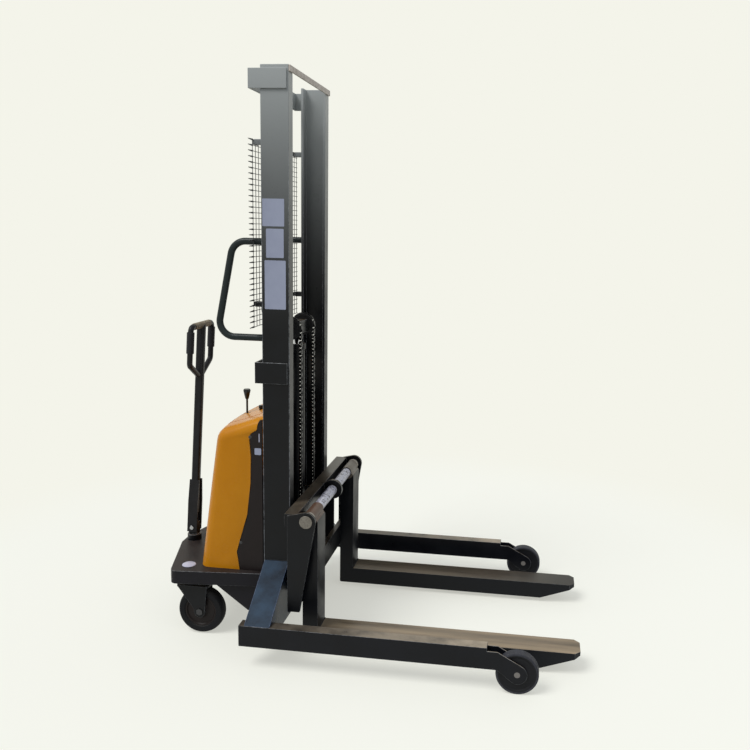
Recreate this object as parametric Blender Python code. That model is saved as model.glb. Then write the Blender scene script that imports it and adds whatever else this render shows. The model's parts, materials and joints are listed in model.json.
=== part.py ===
"""Walkie stacker: a single mast straddle stacker with a hand tiller and an electric lift.

Metres, +Z up, +X towards the fork tips, +Y to the left. The origin is under the middle of
the whole machine, on the floor. "near" pieces are on the -Y side, "far" pieces on the +Y side.
"""

import math

import bmesh
import bpy
from mathutils import Matrix, Vector

# ---- driving dimensions -----------------------------------------------------------------

TOUCH = 0.0003                 # gap left between two pieces that touch
RUN = 0.001                    # running gap beside a turning or sliding piece
BORE_GAP = 0.0004              # radial gap of a bore over its pin

MAST_HEIGHT = 2.080            # floor to the top of the channels
MAST_HALF = 0.268              # mast centre to the outer face of a channel web
CHANNEL_DEPTH = 0.100          # along X, rear face at x = 0 of the mast
CHANNEL_FLANGE = 0.049         # along Y, web included
CHANNEL_WEB = 0.008
CHANNEL_LIP = 0.010            # thickness of a flange
CHANNEL_FOOT = 0.108           # height of the channels' lower ends

TOP_TIE_REACH = 0.042          # how far the top tie stands behind the channels
TOP_TIE_LOW = 2.000
TOP_TIE_HIGH = 2.067
MIDDLE_TIE_REACH = 0.027
MIDDLE_TIE_LOW = 0.978
MIDDLE_TIE_HIGH = 1.055
TIE_PLATE = 0.006
TIE_CHEEK = 0.094              # how far the tie's cheeks reach over the channel webs
TOP_BAR_HEIGHT = 0.021
TOP_BAR_DROP = 0.002           # the bar's upper edge below the channel tops
TOP_BAR_PLATE = 0.006

LEG_HALF = 0.497               # machine centre to the outer face of a leg
LEG_WIDTH = 0.046
LEG_WALL = 0.004
LEG_LOW = 0.084
LEG_HIGH = 0.160
LEG_REAR = -0.017
LEG_FRONT = 0.850
LOAD_WHEEL_R = 0.073
LOAD_WHEEL_WIDTH = 0.036
LOAD_WHEEL_X = 0.954
LOAD_AXLE_R = 0.009
LOAD_EYE_R = 0.034             # rounded end of a leg cheek
CHEEK_DROP = 0.012             # upper edge of a cheek below the leg's top
CHEEK_ROOT = 0.020             # how far a cheek runs back along the leg
CHEEK_REACH = 0.036            # level part of a cheek in front of the leg

ARM_REAR = 0.003
ARM_DEPTH = 0.092
ARM_TOP_AT_MAST = 0.312
ARM_LOW = 0.108
BASE_PLATE = 0.010
BASE_BEAM_HIGH = 0.150

PLATFORM_TOP = 0.260
PLATFORM_SKIRT = 0.050
PLATFORM_SHEET = 0.006
PLATFORM_FRONT_HALF = 0.284
PLATFORM_REAR_HALF = 0.322
PLATFORM_CORNER_X = -0.346
PLATFORM_APEX_X = -0.425
PLATFORM_CORNER_R = 0.026
GUSSET_PLATE = 0.008
GUSSET_REACH = 0.187

CASTER_X = -0.300              # swivel axis
CASTER_Y = 0.255
CASTER_TRAIL = 0.051
CASTER_WHEEL_R = 0.089
CASTER_WHEEL_WIDTH = 0.050
CASTER_AXLE_R = 0.010
CASTER_CHEEK = 0.006
CASTER_STEM_R = 0.015
CASTER_BOSS_R = 0.036
CROWN_LOW = 0.182
CROWN_PLATE = 0.008
CAP_R = 0.026
CAP_HEIGHT = 0.005

STEER_ARM = 0.060              # pivot to link pin, the same on the head and both casters
LINK_PIN_R = 0.006
LINK_WIDTH = 0.020
LINK_PLATE = 0.006
LINK_PIN_LENGTH = 0.020
WASHER_R = 0.026               # thrust washer over the link, under the platform's boss
CASTER_OVERLAP = 0.003         # how deep the pins are set into the crowns and the head arm
BOSS_INSET = 0.001             # bosses end this far inside the platform's skirt

TILLER_X = -0.388              # steering axis
TILLER_PIVOT_Z = 0.316
TILLER_LEAN = math.radians(3.3)
TILLER_TUBE = 0.030
TILLER_BLOCK = 0.032           # width of the head block between the clevis cheeks
TILLER_CHEEK = 0.008
TILLER_STEM_R = 0.014
TILLER_COLLAR_R = 0.028
TILLER_PIN_R = 0.008
LOOP_HALF = 0.101
LOOP_PIPE_R = 0.011
LOOP_LOW = 0.636               # along the tiller from its pivot
LOOP_HIGH = 0.833
GRIP_R = 0.0145
GRIP_LOW = 0.732
GRIP_LENGTH = 0.082

HOOD_HALF = 0.262
HOOD_SHELL = 0.004
HOOD_REAR_LOW_X = -0.256
HOOD_REAR_MID_X = -0.216
HOOD_REAR_MID_Z = 0.560
HOOD_REAR_TOP_X = -0.185
HOOD_CROWN = 0.022             # how far the rear face bulges on the centre line
HOOD_CROWN_HALF = 0.232        # the bulge fades out at this distance from the centre line
HOOD_CROWN_START = -0.110      # behind this the bulge grows
HOOD_TOP_AT_REAR = 0.788
HOOD_TOP_AT_MAST = 0.852
HOOD_FRONT_TOP_X = -0.006
HOOD_FRONT_X = -0.052
HOOD_FRONT_STEP_Z = 0.802
HOOD_FRONT_END_Z = 0.840
HOOD_WAIST_X = -0.108
HOOD_WAIST_Z = 0.330
HOOD_CORNER_R = 0.038
SIDE_COVER_SEAM = 0.002

RAIL_Y = 0.2435
RAIL_PIPE_R = 0.0125
RAIL_HIGH = 1.483
RAIL_LOW = 1.140
RAIL_TOP_REACH = 0.112
RAIL_LOW_REACH = 0.178
RAIL_BEND_R = 0.055

GUARD_X = -0.030
GUARD_SHEET = 0.004
GUARD_HALF = 0.265
GUARD_TEETH = 0.040            # bare wire ends beyond the last upright wire, near side
GUARD_LOW = 1.178
GUARD_STRAP_LOW = 1.252        # lower clamp strap; the grille hangs on below it
GUARD_HIGH = 1.834
GUARD_BAR = 0.019
GUARD_FOOT = 0.024             # width of the stand-offs on the channels that carry the guard
GUARD_WIRE = 0.004
GUARD_COLUMNS = 13
GUARD_ROWS = 6

CYLINDER_X = 0.048
CYLINDER_R = 0.030
CYLINDER_BORE_R = 0.022
CYLINDER_TOP = 1.090
GLAND_HEIGHT = 0.022
HOSE_PORT_Z = 0.300
RAM_R = 0.0175
PISTON_LOW = 0.190
PISTON_HEIGHT = 0.030
CROSSHEAD_LOW = 1.130
CROSSHEAD_HEIGHT = 0.048
CROSSHEAD_HALF = 0.066
PULLEY_Z = 1.157
PULLEY_Y = 0.087
PULLEY_R = 0.043
PULLEY_GROOVE_R = 0.0337
PULLEY_WIDTH = 0.026
PULLEY_AXLE_R = 0.010
CHAIN_PITCH_R = 0.040
CHAIN_WIDTH = 0.018
CHAIN_DEPTH = 0.012

LIFT = 1.600
ROLLER_INSET = 0.011           # outer face of a flange to the roller
ROLLER_WIDTH = 0.030
ROLLER_PIN_R = 0.012
ROLLER_LOW_Z = 0.206
ROLLER_HIGH_Z = 0.408

CARRIAGE_HALF = 0.385
CARRIAGE_PLATE = 0.012
CARRIAGE_REAR = CHANNEL_DEPTH + 0.026
CARRIAGE_LOW = 0.172
CARRIAGE_TOE = CHANNEL_DEPTH + 0.070    # front of a side plate at its lower end
SHAFT_X = CHANNEL_DEPTH + 0.094
SHAFT_Z = 0.5115
SHAFT_R = 0.0185
SHAFT_HEAD_R = 0.0235          # heads outside the side plates
SHAFT_PROUD = 0.004
CARRIAGE_EYE_R = 0.034
CARRIAGE_SHOULDER = 0.530      # height of a side plate at its rear edge
CROSS_BAR_REAR = CHANNEL_DEPTH + 0.014
CROSS_BAR_DEPTH = 0.046
CROSS_BAR_LOW = 0.490
CROSS_BAR_HIGH = 0.535
STOP_BAR_REAR = CHANNEL_DEPTH + 0.048
STOP_BAR_DEPTH = 0.020
STOP_BAR_LOW = 0.192
STOP_BAR_HIGH = 0.277
BRACKET_Y = 0.203              # inner face of the roller brackets
BRACKET_PLATE = 0.012
BRACKET_REAR = 0.020
BRACKET_SHOULDER = 0.450
LUG_PLATE = 0.016
LUG_EYE_R = 0.038
ANCHOR_TOP = 0.262
ANCHOR_HEIGHT = 0.030

FORK_INNER = 0.233
FORK_WIDTH = 0.105
FORK_SHANK = 0.056
FORK_TOP = 0.083
FORK_LOW = 0.018
FORK_TIP_X = 1.171
FORK_TAPER = 0.140
FORK_TIP_HEIGHT = 0.015
FORK_TIP_CHAMFER = 0.020
FORK_EYE_R = 0.0225
FORK_EYE_PROUD = 0.004
FORK_PLAY = 0.0015             # radial play of the fork eyes and collars on the shaft
FORK_SHOULDER = 0.016          # top of a shank's front face below the shaft's axis
COLLAR_WIDTH = 0.014
COLLAR_R = 0.0225

LEVER_X = -0.157
LEVER_DROP = 0.022             # pivot below the hood's top face
LEVER_ROD_R = 0.004
LEVER_LENGTH = 0.122
LEVER_KNOB_R = 0.0145
LEVER_KNOB_LENGTH = 0.042
LEVER_SLOT = 0.030
KEY_X = -0.100
KEY_R = 0.007
KEY_FLANGE = 0.002             # head of the key switch beyond its barrel
KEY_HEIGHT = 0.016

# ---- values that follow from them -------------------------------------------------------

REAR_END = PLATFORM_APEX_X
FRONT_END = FORK_TIP_X
MID_X = (REAR_END + FRONT_END) / 2    # machine middle, measured from the mast's rear face

WEB_INNER = MAST_HALF - CHANNEL_WEB
FLANGE_TIP = MAST_HALF - CHANNEL_FLANGE
ROLLER_X = CHANNEL_DEPTH / 2
ROLLER_R = ROLLER_X - ROLLER_INSET
FRONT_CHAIN_X = CYLINDER_X + CHAIN_PITCH_R
REAR_CHAIN_X = CYLINDER_X - CHAIN_PITCH_R
SHANK_FRONT = STOP_BAR_REAR + STOP_BAR_DEPTH + TOUCH + FORK_SHANK
HOOD_TOP_SLOPE = (HOOD_TOP_AT_MAST - HOOD_TOP_AT_REAR) / (HOOD_FRONT_TOP_X - HOOD_REAR_TOP_X)
DRIVE_Z = CROWN_LOW + CROWN_PLATE     # upper face of the caster crowns and the head arm


def hood_top(x):
    """Height of the hood's upper face along its sides at mast-frame x."""
    return HOOD_TOP_AT_REAR + (x - HOOD_REAR_TOP_X) * HOOD_TOP_SLOPE


def hood_ridge(x):
    """The same height on the centre line, where the crown draws the face back."""
    share = HOOD_CROWN / (HOOD_CROWN_START - HOOD_REAR_TOP_X)
    if x > HOOD_CROWN_START:
        return hood_top(x)
    return hood_top((x + share * HOOD_CROWN_START) / (1 + share))


# ---- modelling helpers ------------------------------------------------------------------

SIDES = (("near", -1), ("far", 1))


def clear_scene():
    for old in list(bpy.data.objects):
        bpy.data.objects.remove(old, do_unlink=True)


def material(name, colour, roughness=0.45, metallic=0.0):
    mat = bpy.data.materials.new(name)
    mat.use_nodes = True
    shader = mat.node_tree.nodes["Principled BSDF"]
    shader.inputs["Base Color"].default_value = (*colour, 1.0)
    shader.inputs["Roughness"].default_value = roughness
    shader.inputs["Metallic"].default_value = metallic
    return mat


BLACK = ((0.012, 0.014, 0.020), 0.35, 0.0)
YELLOW = ((0.62, 0.30, 0.02), 0.38, 0.0)
PLASTIC = ((0.015, 0.015, 0.016), 0.55, 0.0)
STEEL = ((0.42, 0.42, 0.43), 0.30, 1.0)
BROWN_STEEL = ((0.16, 0.10, 0.07), 0.45, 0.6)
RUBBER = ((0.020, 0.020, 0.022), 0.75, 0.0)
NYLON = ((0.10, 0.10, 0.11), 0.55, 0.0)
WHITE = ((0.75, 0.75, 0.78), 0.50, 0.0)
COPPER_RED = ((0.20, 0.02, 0.015), 0.40, 0.0)
GREY = ((0.22, 0.23, 0.25), 0.50, 0.0)


def finish(name, bm, look, pivot=None, smooth=True):
    """Turns a bmesh drawn in the mast's frame into a named object with its origin at pivot."""
    bmesh.ops.recalc_face_normals(bm, faces=bm.faces)
    pivot = Vector(pivot or (0.0, 0.0, 0.0))
    bmesh.ops.translate(bm, verts=bm.verts, vec=-pivot)
    mesh = bpy.data.meshes.new(name)
    bm.to_mesh(mesh)
    bm.free()
    if smooth:
        mesh.shade_smooth()
        mesh.set_sharp_from_angle(angle=math.radians(35))
    piece = bpy.data.objects.new(name, mesh)
    piece.location = pivot - Vector((MID_X, 0.0, 0.0))
    bpy.context.scene.collection.objects.link(piece)
    mesh.materials.append(material(name + "_finish", *look))
    return piece


def block(low, high):
    """A box between two corners."""
    bm = bmesh.new()
    bmesh.ops.create_cube(bm, size=1.0)
    size = [h - l for l, h in zip(low, high)]
    middle = [(h + l) / 2 for l, h in zip(low, high)]
    bmesh.ops.scale(bm, verts=bm.verts, vec=size)
    bmesh.ops.translate(bm, verts=bm.verts, vec=middle)
    return bm


def prism(outline, axis, start, end):
    """Extrudes a 2-D outline along x, y or z; the outline's axes keep their cyclic order."""
    place = {
        "x": lambda a, b, s: (s, a, b),
        "y": lambda a, b, s: (a, s, b),
        "z": lambda a, b, s: (a, b, s),
    }[axis]
    bm = bmesh.new()
    first = [bm.verts.new(place(a, b, start)) for a, b in outline]
    last = [bm.verts.new(place(a, b, end)) for a, b in outline]
    bm.faces.new(first)
    bm.faces.new(reversed(last))
    count = len(outline)
    for i in range(count):
        j = (i + 1) % count
        bm.faces.new((first[i], last[i], last[j], first[j]))
    return bm


def turned(profile, axis, centre, steps=32):
    """Turns a closed (radius, height) profile about an axis; radius 0 points close the ends."""
    bm = bmesh.new()
    rings = []
    for radius, height in profile:
        if radius < 1e-6:
            rings.append([bm.verts.new((0.0, 0.0, height))])
            continue
        ring = []
        for i in range(steps):
            turn = 2 * math.pi * i / steps
            ring.append(bm.verts.new((radius * math.cos(turn), radius * math.sin(turn), height)))
        rings.append(ring)
    for k, ring in enumerate(rings):
        other = rings[(k + 1) % len(rings)]
        if len(ring) == 1 and len(other) == 1:
            continue
        for i in range(steps):
            j = (i + 1) % steps
            if len(ring) == 1:
                bm.faces.new((ring[0], other[i], other[j]))
            elif len(other) == 1:
                bm.faces.new((ring[i], other[0], ring[j]))
            else:
                bm.faces.new((ring[i], other[i], other[j], ring[j]))
    turns = {
        "z": Matrix.Identity(3),
        "y": Matrix.Rotation(math.radians(-90), 3, "X"),
        "x": Matrix.Rotation(math.radians(90), 3, "Y"),
    }
    bmesh.ops.rotate(bm, verts=bm.verts, cent=(0, 0, 0), matrix=turns[axis])
    bmesh.ops.translate(bm, verts=bm.verts, vec=centre)
    return bm


def rod(radius, axis, centre, length, steps=24):
    """A solid cylinder centred on centre."""
    half = length / 2
    return turned([(0, -half), (radius, -half), (radius, half), (0, half)], axis, centre, steps)


def ring(outer, inner, axis, centre, length, steps=32):
    half = length / 2
    profile = [(inner, -half), (outer, -half), (outer, half), (inner, half)]
    return turned(profile, axis, centre, steps)


def arc(centre, radius, start, end, steps):
    """Points on an arc, angles in degrees from the first axis towards the second."""
    points = []
    for i in range(steps + 1):
        turn = math.radians(start + (end - start) * i / steps)
        points.append((centre[0] + radius * math.cos(turn), centre[1] + radius * math.sin(turn)))
    return points


def fillet(before, here, after, radius, steps):
    """Points of the round corner that replaces here, from the side of before to that of after."""
    back = (before - here).normalized()
    ahead = (after - here).normalized()
    half = back.angle(ahead) / 2
    reach = radius / math.tan(half)
    centre = here + (back + ahead).normalized() * (radius / math.sin(half))
    first = here + back * reach - centre
    last = here + ahead * reach - centre
    sweep = first.angle(last)
    points = []
    for k in range(steps + 1):
        turn = sweep * k / steps
        blend = first * math.sin(sweep - turn) + last * math.sin(turn)
        points.append(centre + blend / math.sin(sweep))
    return points


def rounded(corners, radii, steps=5):
    """A closed 2-D outline with each corner rounded by its own radius."""
    path = [Vector((a, b, 0.0)) for a, b in corners]
    outline = []
    for i, here in enumerate(path):
        if radii[i] <= 0:
            outline.append((here.x, here.y))
            continue
        after = path[(i + 1) % len(path)]
        outline += [(p.x, p.y) for p in fillet(path[i - 1], here, after, radii[i], steps)]
    return outline


def joined(shapes):
    """One bmesh from several that overlap, united with exact booleans."""
    return carved(shapes[0], shapes[1:], [])


def carved(body, added, removed):
    """Unites added shapes with body and cuts the removed shapes out of it."""
    base = scratch(body)
    tools = [(scratch(shape), "UNION") for shape in added]
    tools += [(scratch(shape), "DIFFERENCE") for shape in removed]
    for tool, operation in tools:
        cut = base.modifiers.new("cut", "BOOLEAN")
        cut.operation = operation
        cut.solver = "EXACT"
        cut.object = tool
    graph = bpy.context.evaluated_depsgraph_get()
    result = bmesh.new()
    result.from_object(base, graph)
    for used in [base] + [tool for tool, _ in tools]:
        bpy.data.objects.remove(used, do_unlink=True)
    bmesh.ops.remove_doubles(result, verts=result.verts, dist=0.00002)
    bmesh.ops.dissolve_degenerate(result, dist=0.00002, edges=result.edges)
    return result


def scratch(bm):
    """A throwaway object that holds a bmesh for a boolean."""
    bmesh.ops.recalc_face_normals(bm, faces=bm.faces)
    mesh = bpy.data.meshes.new("scratch")
    bm.to_mesh(mesh)
    bm.free()
    piece = bpy.data.objects.new("scratch", mesh)
    bpy.context.scene.collection.objects.link(piece)
    return piece


def pipe(points, radius, steps=10):
    """A round bar swept along a 3-D polyline, mitred at its points."""
    bm = bmesh.new()
    path = [Vector(p) for p in points]
    heading = (path[1] - path[0]).normalized()
    side = heading.orthogonal().normalized()
    previous = None
    for i, point in enumerate(path):
        back = (point - path[i - 1]).normalized() if i else heading
        ahead = (path[i + 1] - point).normalized() if i + 1 < len(path) else back
        tangent = (back + ahead).normalized()
        side = (side - tangent * side.dot(tangent)).normalized()
        up = tangent.cross(side)
        loop = []
        for k in range(steps):
            turn = 2 * math.pi * k / steps
            offset = side * math.cos(turn) + up * math.sin(turn)
            loop.append(bm.verts.new(point + offset * radius))
        if previous:
            for k in range(steps):
                j = (k + 1) % steps
                bm.faces.new((previous[k], previous[j], loop[j], loop[k]))
        else:
            bm.faces.new(reversed(loop))
        previous = loop
    bm.faces.new(previous)
    return bm


def bent(corners, radius, steps=6):
    """Rounds the inner corners of an open 3-D polyline with a bend radius."""
    path = [Vector(corner) for corner in corners]
    route = [path[0]]
    for i in range(1, len(path) - 1):
        route += fillet(path[i - 1], path[i], path[i + 1], radius, steps)
    return route + [path[-1]]


# ---- mast -------------------------------------------------------------------------------

def make_mast():
    for side, sign in SIDES:
        web = sign * MAST_HALF
        inner = sign * WEB_INNER
        tip = sign * FLANGE_TIP
        outline = [
            (0, web), (CHANNEL_DEPTH, web), (CHANNEL_DEPTH, tip),
            (CHANNEL_DEPTH - CHANNEL_LIP, tip), (CHANNEL_DEPTH - CHANNEL_LIP, inner),
            (CHANNEL_LIP, inner), (CHANNEL_LIP, tip), (0, tip),
        ]
        shapes = [prism(outline, "z", CHANNEL_FOOT, MAST_HEIGHT)]
        middle = sign * RAIL_Y
        for low in (GUARD_STRAP_LOW, GUARD_HIGH - GUARD_BAR):
            shapes.append(block((GUARD_X + TOUCH, middle - GUARD_FOOT / 2, low),
                                (CHANNEL_LIP / 4, middle + GUARD_FOOT / 2, low + GUARD_BAR)))
        finish("mast_channel_" + side, joined(shapes), BLACK)

    make_tie("mast_top_tie", TOP_TIE_REACH, TOP_TIE_LOW, TOP_TIE_HIGH)
    make_tie("mast_middle_tie", MIDDLE_TIE_REACH, MIDDLE_TIE_LOW, MIDDLE_TIE_HIGH)

    high = MAST_HEIGHT - TOP_BAR_DROP
    front = CHANNEL_DEPTH + TOUCH
    finish("mast_top_bar", block((front, -MAST_HALF, high - TOP_BAR_HEIGHT),
                                 (front + TOP_BAR_PLATE, MAST_HALF, high)), BLACK)


def make_tie(name, reach, low, high):
    """A bent strap behind the mast whose cheeks lie on the outer faces of both channels."""
    inside = MAST_HALF + TOUCH
    outside = inside + TIE_PLATE
    outline = [
        (TIE_CHEEK, -outside), (-reach, -outside), (-reach, outside), (TIE_CHEEK, outside),
        (TIE_CHEEK, inside), (-reach + TIE_PLATE, inside), (-reach + TIE_PLATE, -inside),
        (TIE_CHEEK, -inside),
    ]
    finish(name, prism(outline, "z", low, high), BLACK)


# ---- base, legs and load wheels ---------------------------------------------------------

def make_base():
    plate_low = CHANNEL_FOOT - TOUCH - BASE_PLATE
    arm_root = MAST_HALF + TOUCH
    leg_side = LEG_HALF - LEG_WIDTH - TOUCH
    seat = LEG_HIGH + TOUCH
    shapes = [block((ARM_REAR, -leg_side, plate_low),
                    (ARM_REAR + ARM_DEPTH, leg_side, CHANNEL_FOOT - TOUCH))]
    beam = WEB_INNER - TOUCH
    shapes.append(block((CHANNEL_LIP + TOUCH, -beam, plate_low + BASE_PLATE / 2),
                        (CHANNEL_DEPTH - CHANNEL_LIP - TOUCH, beam, BASE_BEAM_HIGH)))
    for _, sign in SIDES:
        outline = [
            (sign * arm_root, plate_low + BASE_PLATE / 2), (sign * arm_root, ARM_TOP_AT_MAST),
            (sign * LEG_HALF, seat), (sign * leg_side, seat),
            (sign * leg_side, plate_low + BASE_PLATE / 2),
        ]
        shapes.append(prism(outline, "x", ARM_REAR, ARM_REAR + ARM_DEPTH))
    finish("base_frame", joined(shapes), BLACK)


def make_legs():
    for side, sign in SIDES:
        outer = sign * LEG_HALF
        inner = sign * (LEG_HALF - LEG_WIDTH)
        middle = (outer + inner) / 2
        y_low, y_high = min(outer, inner), max(outer, inner)
        tube = block((LEG_REAR, y_low, LEG_LOW), (LEG_FRONT, y_high, LEG_HIGH))
        cheek_root = LEG_FRONT - CHEEK_ROOT
        cheek_top = LEG_HIGH - CHEEK_DROP
        cheek = [(cheek_root, LEG_LOW), (cheek_root, cheek_top), (LEG_FRONT + CHEEK_REACH, cheek_top)]
        cheek += arc((LOAD_WHEEL_X, LOAD_WHEEL_R), LOAD_EYE_R, 60, -110, 12)
        cheek.append((LEG_FRONT + CHEEK_REACH, LEG_LOW))
        cheeks = [
            prism(cheek, "y", y_low, y_low + LEG_WALL),
            prism(cheek, "y", y_high - LEG_WALL, y_high),
            rod(LOAD_AXLE_R, "y", (LOAD_WHEEL_X, middle, LOAD_WHEEL_R), LEG_WIDTH - RUN, 16),
        ]
        hollow = block((LEG_REAR + LEG_WALL, y_low + LEG_WALL, LEG_LOW + LEG_WALL),
                       (LEG_FRONT + 0.010, y_high - LEG_WALL, LEG_HIGH - LEG_WALL))
        hub = rod(LOAD_WHEEL_R + 0.010, "y", (LOAD_WHEEL_X, middle, LOAD_WHEEL_R),
                  LEG_WIDTH - 2 * LEG_WALL, 32)
        leg = carved(tube, [], [hollow, hub])
        finish("leg_" + side, joined([leg] + cheeks), BLACK)

        wheel = ring(LOAD_WHEEL_R, LOAD_AXLE_R + BORE_GAP, "y", (0, 0, 0), LOAD_WHEEL_WIDTH)
        place = Vector((LOAD_WHEEL_X, middle, LOAD_WHEEL_R))
        bmesh.ops.translate(wheel, verts=wheel.verts, vec=place)
        finish("load_wheel_" + side, wheel, NYLON, place)


# ---- platform, casters and steering -----------------------------------------------------

def platform_outline(inset):
    """Plan of the platform; inset moves every edge in by that much."""
    corner = PLATFORM_REAR_HALF - inset
    front = PLATFORM_FRONT_HALF - inset
    corners = [
        (-TOUCH - inset, -front), (-TOUCH - inset, front),
        (PLATFORM_CORNER_X + inset, corner), (PLATFORM_APEX_X + inset, 0.040),
        (PLATFORM_APEX_X + inset, -0.040), (PLATFORM_CORNER_X + inset, -corner),
    ]
    bend = PLATFORM_CORNER_R - inset
    return rounded(corners, [0, 0, bend, bend, bend, bend], 4)


def make_platform():
    low = PLATFORM_TOP - PLATFORM_SKIRT
    tray = prism(platform_outline(0), "z", low, PLATFORM_TOP)
    hollow = prism(platform_outline(PLATFORM_SHEET), "z", low - 0.010,
                   PLATFORM_TOP - PLATFORM_SHEET)
    shell = carved(tray, [], [hollow])
    added, removed = [], []
    for _, sign in SIDES:
        inner = sign * (MAST_HALF + TOUCH)
        outer = sign * (MAST_HALF + TOUCH + GUSSET_PLATE)
        gusset = [
            (-GUSSET_REACH, low + 0.004), (-GUSSET_REACH, low - 0.010),
            (-0.062, ARM_LOW), (-TOUCH, ARM_LOW), (-TOUCH, low + 0.004),
        ]
        added.append(prism(gusset, "y", inner, outer))
        axis = (CASTER_X, sign * CASTER_Y)
        boss_mid = (low + PLATFORM_TOP) / 2
        added.append(rod(CASTER_BOSS_R, "z", (*axis, boss_mid), PLATFORM_SKIRT - 2 * BOSS_INSET, 24))
        removed.append(rod(CASTER_STEM_R + BORE_GAP, "z", (*axis, boss_mid), 0.200, 24))
    boss_mid = (low + PLATFORM_TOP) / 2
    added.append(rod(TILLER_COLLAR_R - 0.002, "z", (TILLER_X, 0, boss_mid),
                     PLATFORM_SKIRT - 2 * BOSS_INSET, 24))
    removed.append(rod(TILLER_STEM_R + BORE_GAP, "z", (TILLER_X, 0, boss_mid), 0.200, 24))
    finish("rear_platform", carved(shell, added, removed), BLACK)

    for side, sign in SIDES:
        cap = [(0, 0), (CAP_R, 0), (CAP_R, CAP_HEIGHT * 0.4), (CAP_R * 0.8, CAP_HEIGHT),
               (0, CAP_HEIGHT)]
        spot = (CASTER_X, sign * CASTER_Y, PLATFORM_TOP + TOUCH)
        finish("caster_cap_" + side, turned(cap, "z", spot, 24), WHITE)


def make_casters():
    for side, sign in SIDES:
        axis_y = sign * CASTER_Y
        wheel_x = CASTER_X + CASTER_TRAIL
        half = CASTER_WHEEL_WIDTH / 2 + RUN
        stem_high = PLATFORM_TOP - 0.002
        washer_low = DRIVE_Z + 2 * RUN + LINK_PLATE
        washer_high = PLATFORM_TOP - PLATFORM_SKIRT + BOSS_INSET - TOUCH
        pin_mid = DRIVE_Z - CASTER_OVERLAP + LINK_PIN_LENGTH / 2
        crown = rounded(
            [(CASTER_X - 0.040, axis_y - half - CASTER_CHEEK),
             (wheel_x + 0.034, axis_y - half - CASTER_CHEEK),
             (wheel_x + 0.034, axis_y + half + CASTER_CHEEK),
             (CASTER_X - 0.040, axis_y + half + CASTER_CHEEK)],
            [0.012] * 4, 3)
        shapes = [
            prism(crown, "z", CROWN_LOW, DRIVE_Z),
            rod(CASTER_STEM_R, "z", (CASTER_X, axis_y, (CROWN_LOW + stem_high) / 2 + 0.002),
                stem_high - CROWN_LOW - 0.004, 24),
            rod(WASHER_R, "z", (CASTER_X, axis_y, (washer_low + washer_high) / 2),
                washer_high - washer_low, 24),
            rod(LINK_PIN_R, "z", (CASTER_X + STEER_ARM, axis_y, pin_mid), LINK_PIN_LENGTH, 12),
            rod(CASTER_AXLE_R, "y", (wheel_x, axis_y, CASTER_WHEEL_R),
                2 * (half + CASTER_CHEEK) - RUN, 16),
        ]
        cheek = [(CASTER_X - 0.036, DRIVE_Z - 0.002), (wheel_x + 0.030, DRIVE_Z - 0.002)]
        cheek += arc((wheel_x, CASTER_WHEEL_R), 0.022, 20, -200, 10)
        cheek.reverse()
        for inner in (-1, 1):
            face = axis_y + inner * half
            shapes.append(prism(cheek, "y", face, face + inner * CASTER_CHEEK))
        finish("caster_fork_" + side, joined(shapes), BLACK, (CASTER_X, axis_y, CROWN_LOW))

        bore = CASTER_AXLE_R + BORE_GAP
        side_r = CASTER_WHEEL_R - 0.006
        half_w = CASTER_WHEEL_WIDTH / 2
        profile = [
            (bore, -half_w), (0.030, -half_w), (0.034, -half_w + 0.006),
            (side_r - 0.010, -half_w + 0.006), (side_r - 0.006, -half_w), (side_r, -half_w),
            (CASTER_WHEEL_R, -half_w + 0.009), (CASTER_WHEEL_R, half_w - 0.009),
            (side_r, half_w), (side_r - 0.006, half_w), (side_r - 0.010, half_w - 0.006),
            (0.034, half_w - 0.006), (0.030, half_w), (bore, half_w),
        ]
        centre = (wheel_x, axis_y, CASTER_WHEEL_R)
        finish("caster_wheel_" + side, turned(profile, "y", centre, 28), RUBBER, centre)


def make_steering():
    """The head turns in the platform; the link carries its motion to both casters."""
    arm_end = TILLER_X + STEER_ARM
    block_top = TILLER_PIVOT_Z + TILLER_PIN_R + 0.010
    half = TILLER_BLOCK / 2
    collar_low = PLATFORM_TOP + TOUCH
    arm = arc((TILLER_X, 0), 0.020, 90, 270, 8) + arc((arm_end, 0), 0.014, -90, 90, 8)
    shapes = [
        rod(TILLER_STEM_R, "z", (TILLER_X, 0, (CROWN_LOW + 0.290) / 2), 0.290 - CROWN_LOW, 24),
        prism(arm, "z", CROWN_LOW, DRIVE_Z),
        rod(LINK_PIN_R, "z", (arm_end, 0, DRIVE_Z - CASTER_OVERLAP + LINK_PIN_LENGTH / 2),
            LINK_PIN_LENGTH, 12),
        rod(TILLER_COLLAR_R, "z", (TILLER_X, 0, collar_low + 0.0125), 0.025, 24),
        block((TILLER_X - 0.018, -half, collar_low + 0.012),
              (TILLER_X + 0.018, half, block_top)),
    ]
    bore = rod(TILLER_PIN_R + BORE_GAP, "y", (TILLER_X, 0, TILLER_PIVOT_Z), 0.100, 20)
    head = carved(shapes[0], shapes[1:], [bore])
    finish("steering_head", head, BLACK, (TILLER_X, 0, CROWN_LOW))

    low = DRIVE_Z + RUN
    cross_x = CASTER_X + STEER_ARM
    bar = block((cross_x - LINK_WIDTH / 2, -CASTER_Y - LINK_WIDTH / 2, low),
                (cross_x + LINK_WIDTH / 2, CASTER_Y + LINK_WIDTH / 2, low + LINK_PLATE))
    tongue = block((arm_end - LINK_WIDTH / 2, -LINK_WIDTH / 2, low),
                   (cross_x, LINK_WIDTH / 2, low + LINK_PLATE))
    holes = []
    for x, y in ((arm_end, 0), (cross_x, -CASTER_Y), (cross_x, CASTER_Y)):
        slack = BORE_GAP if y == 0 else 3 * BORE_GAP
        holes.append(rod(LINK_PIN_R + slack, "z", (x, y, low), 0.060, 16))
    finish("steering_link", carved(bar, [tongue], holes), STEEL, (arm_end, 0, low))


# ---- tiller -----------------------------------------------------------------------------

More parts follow.
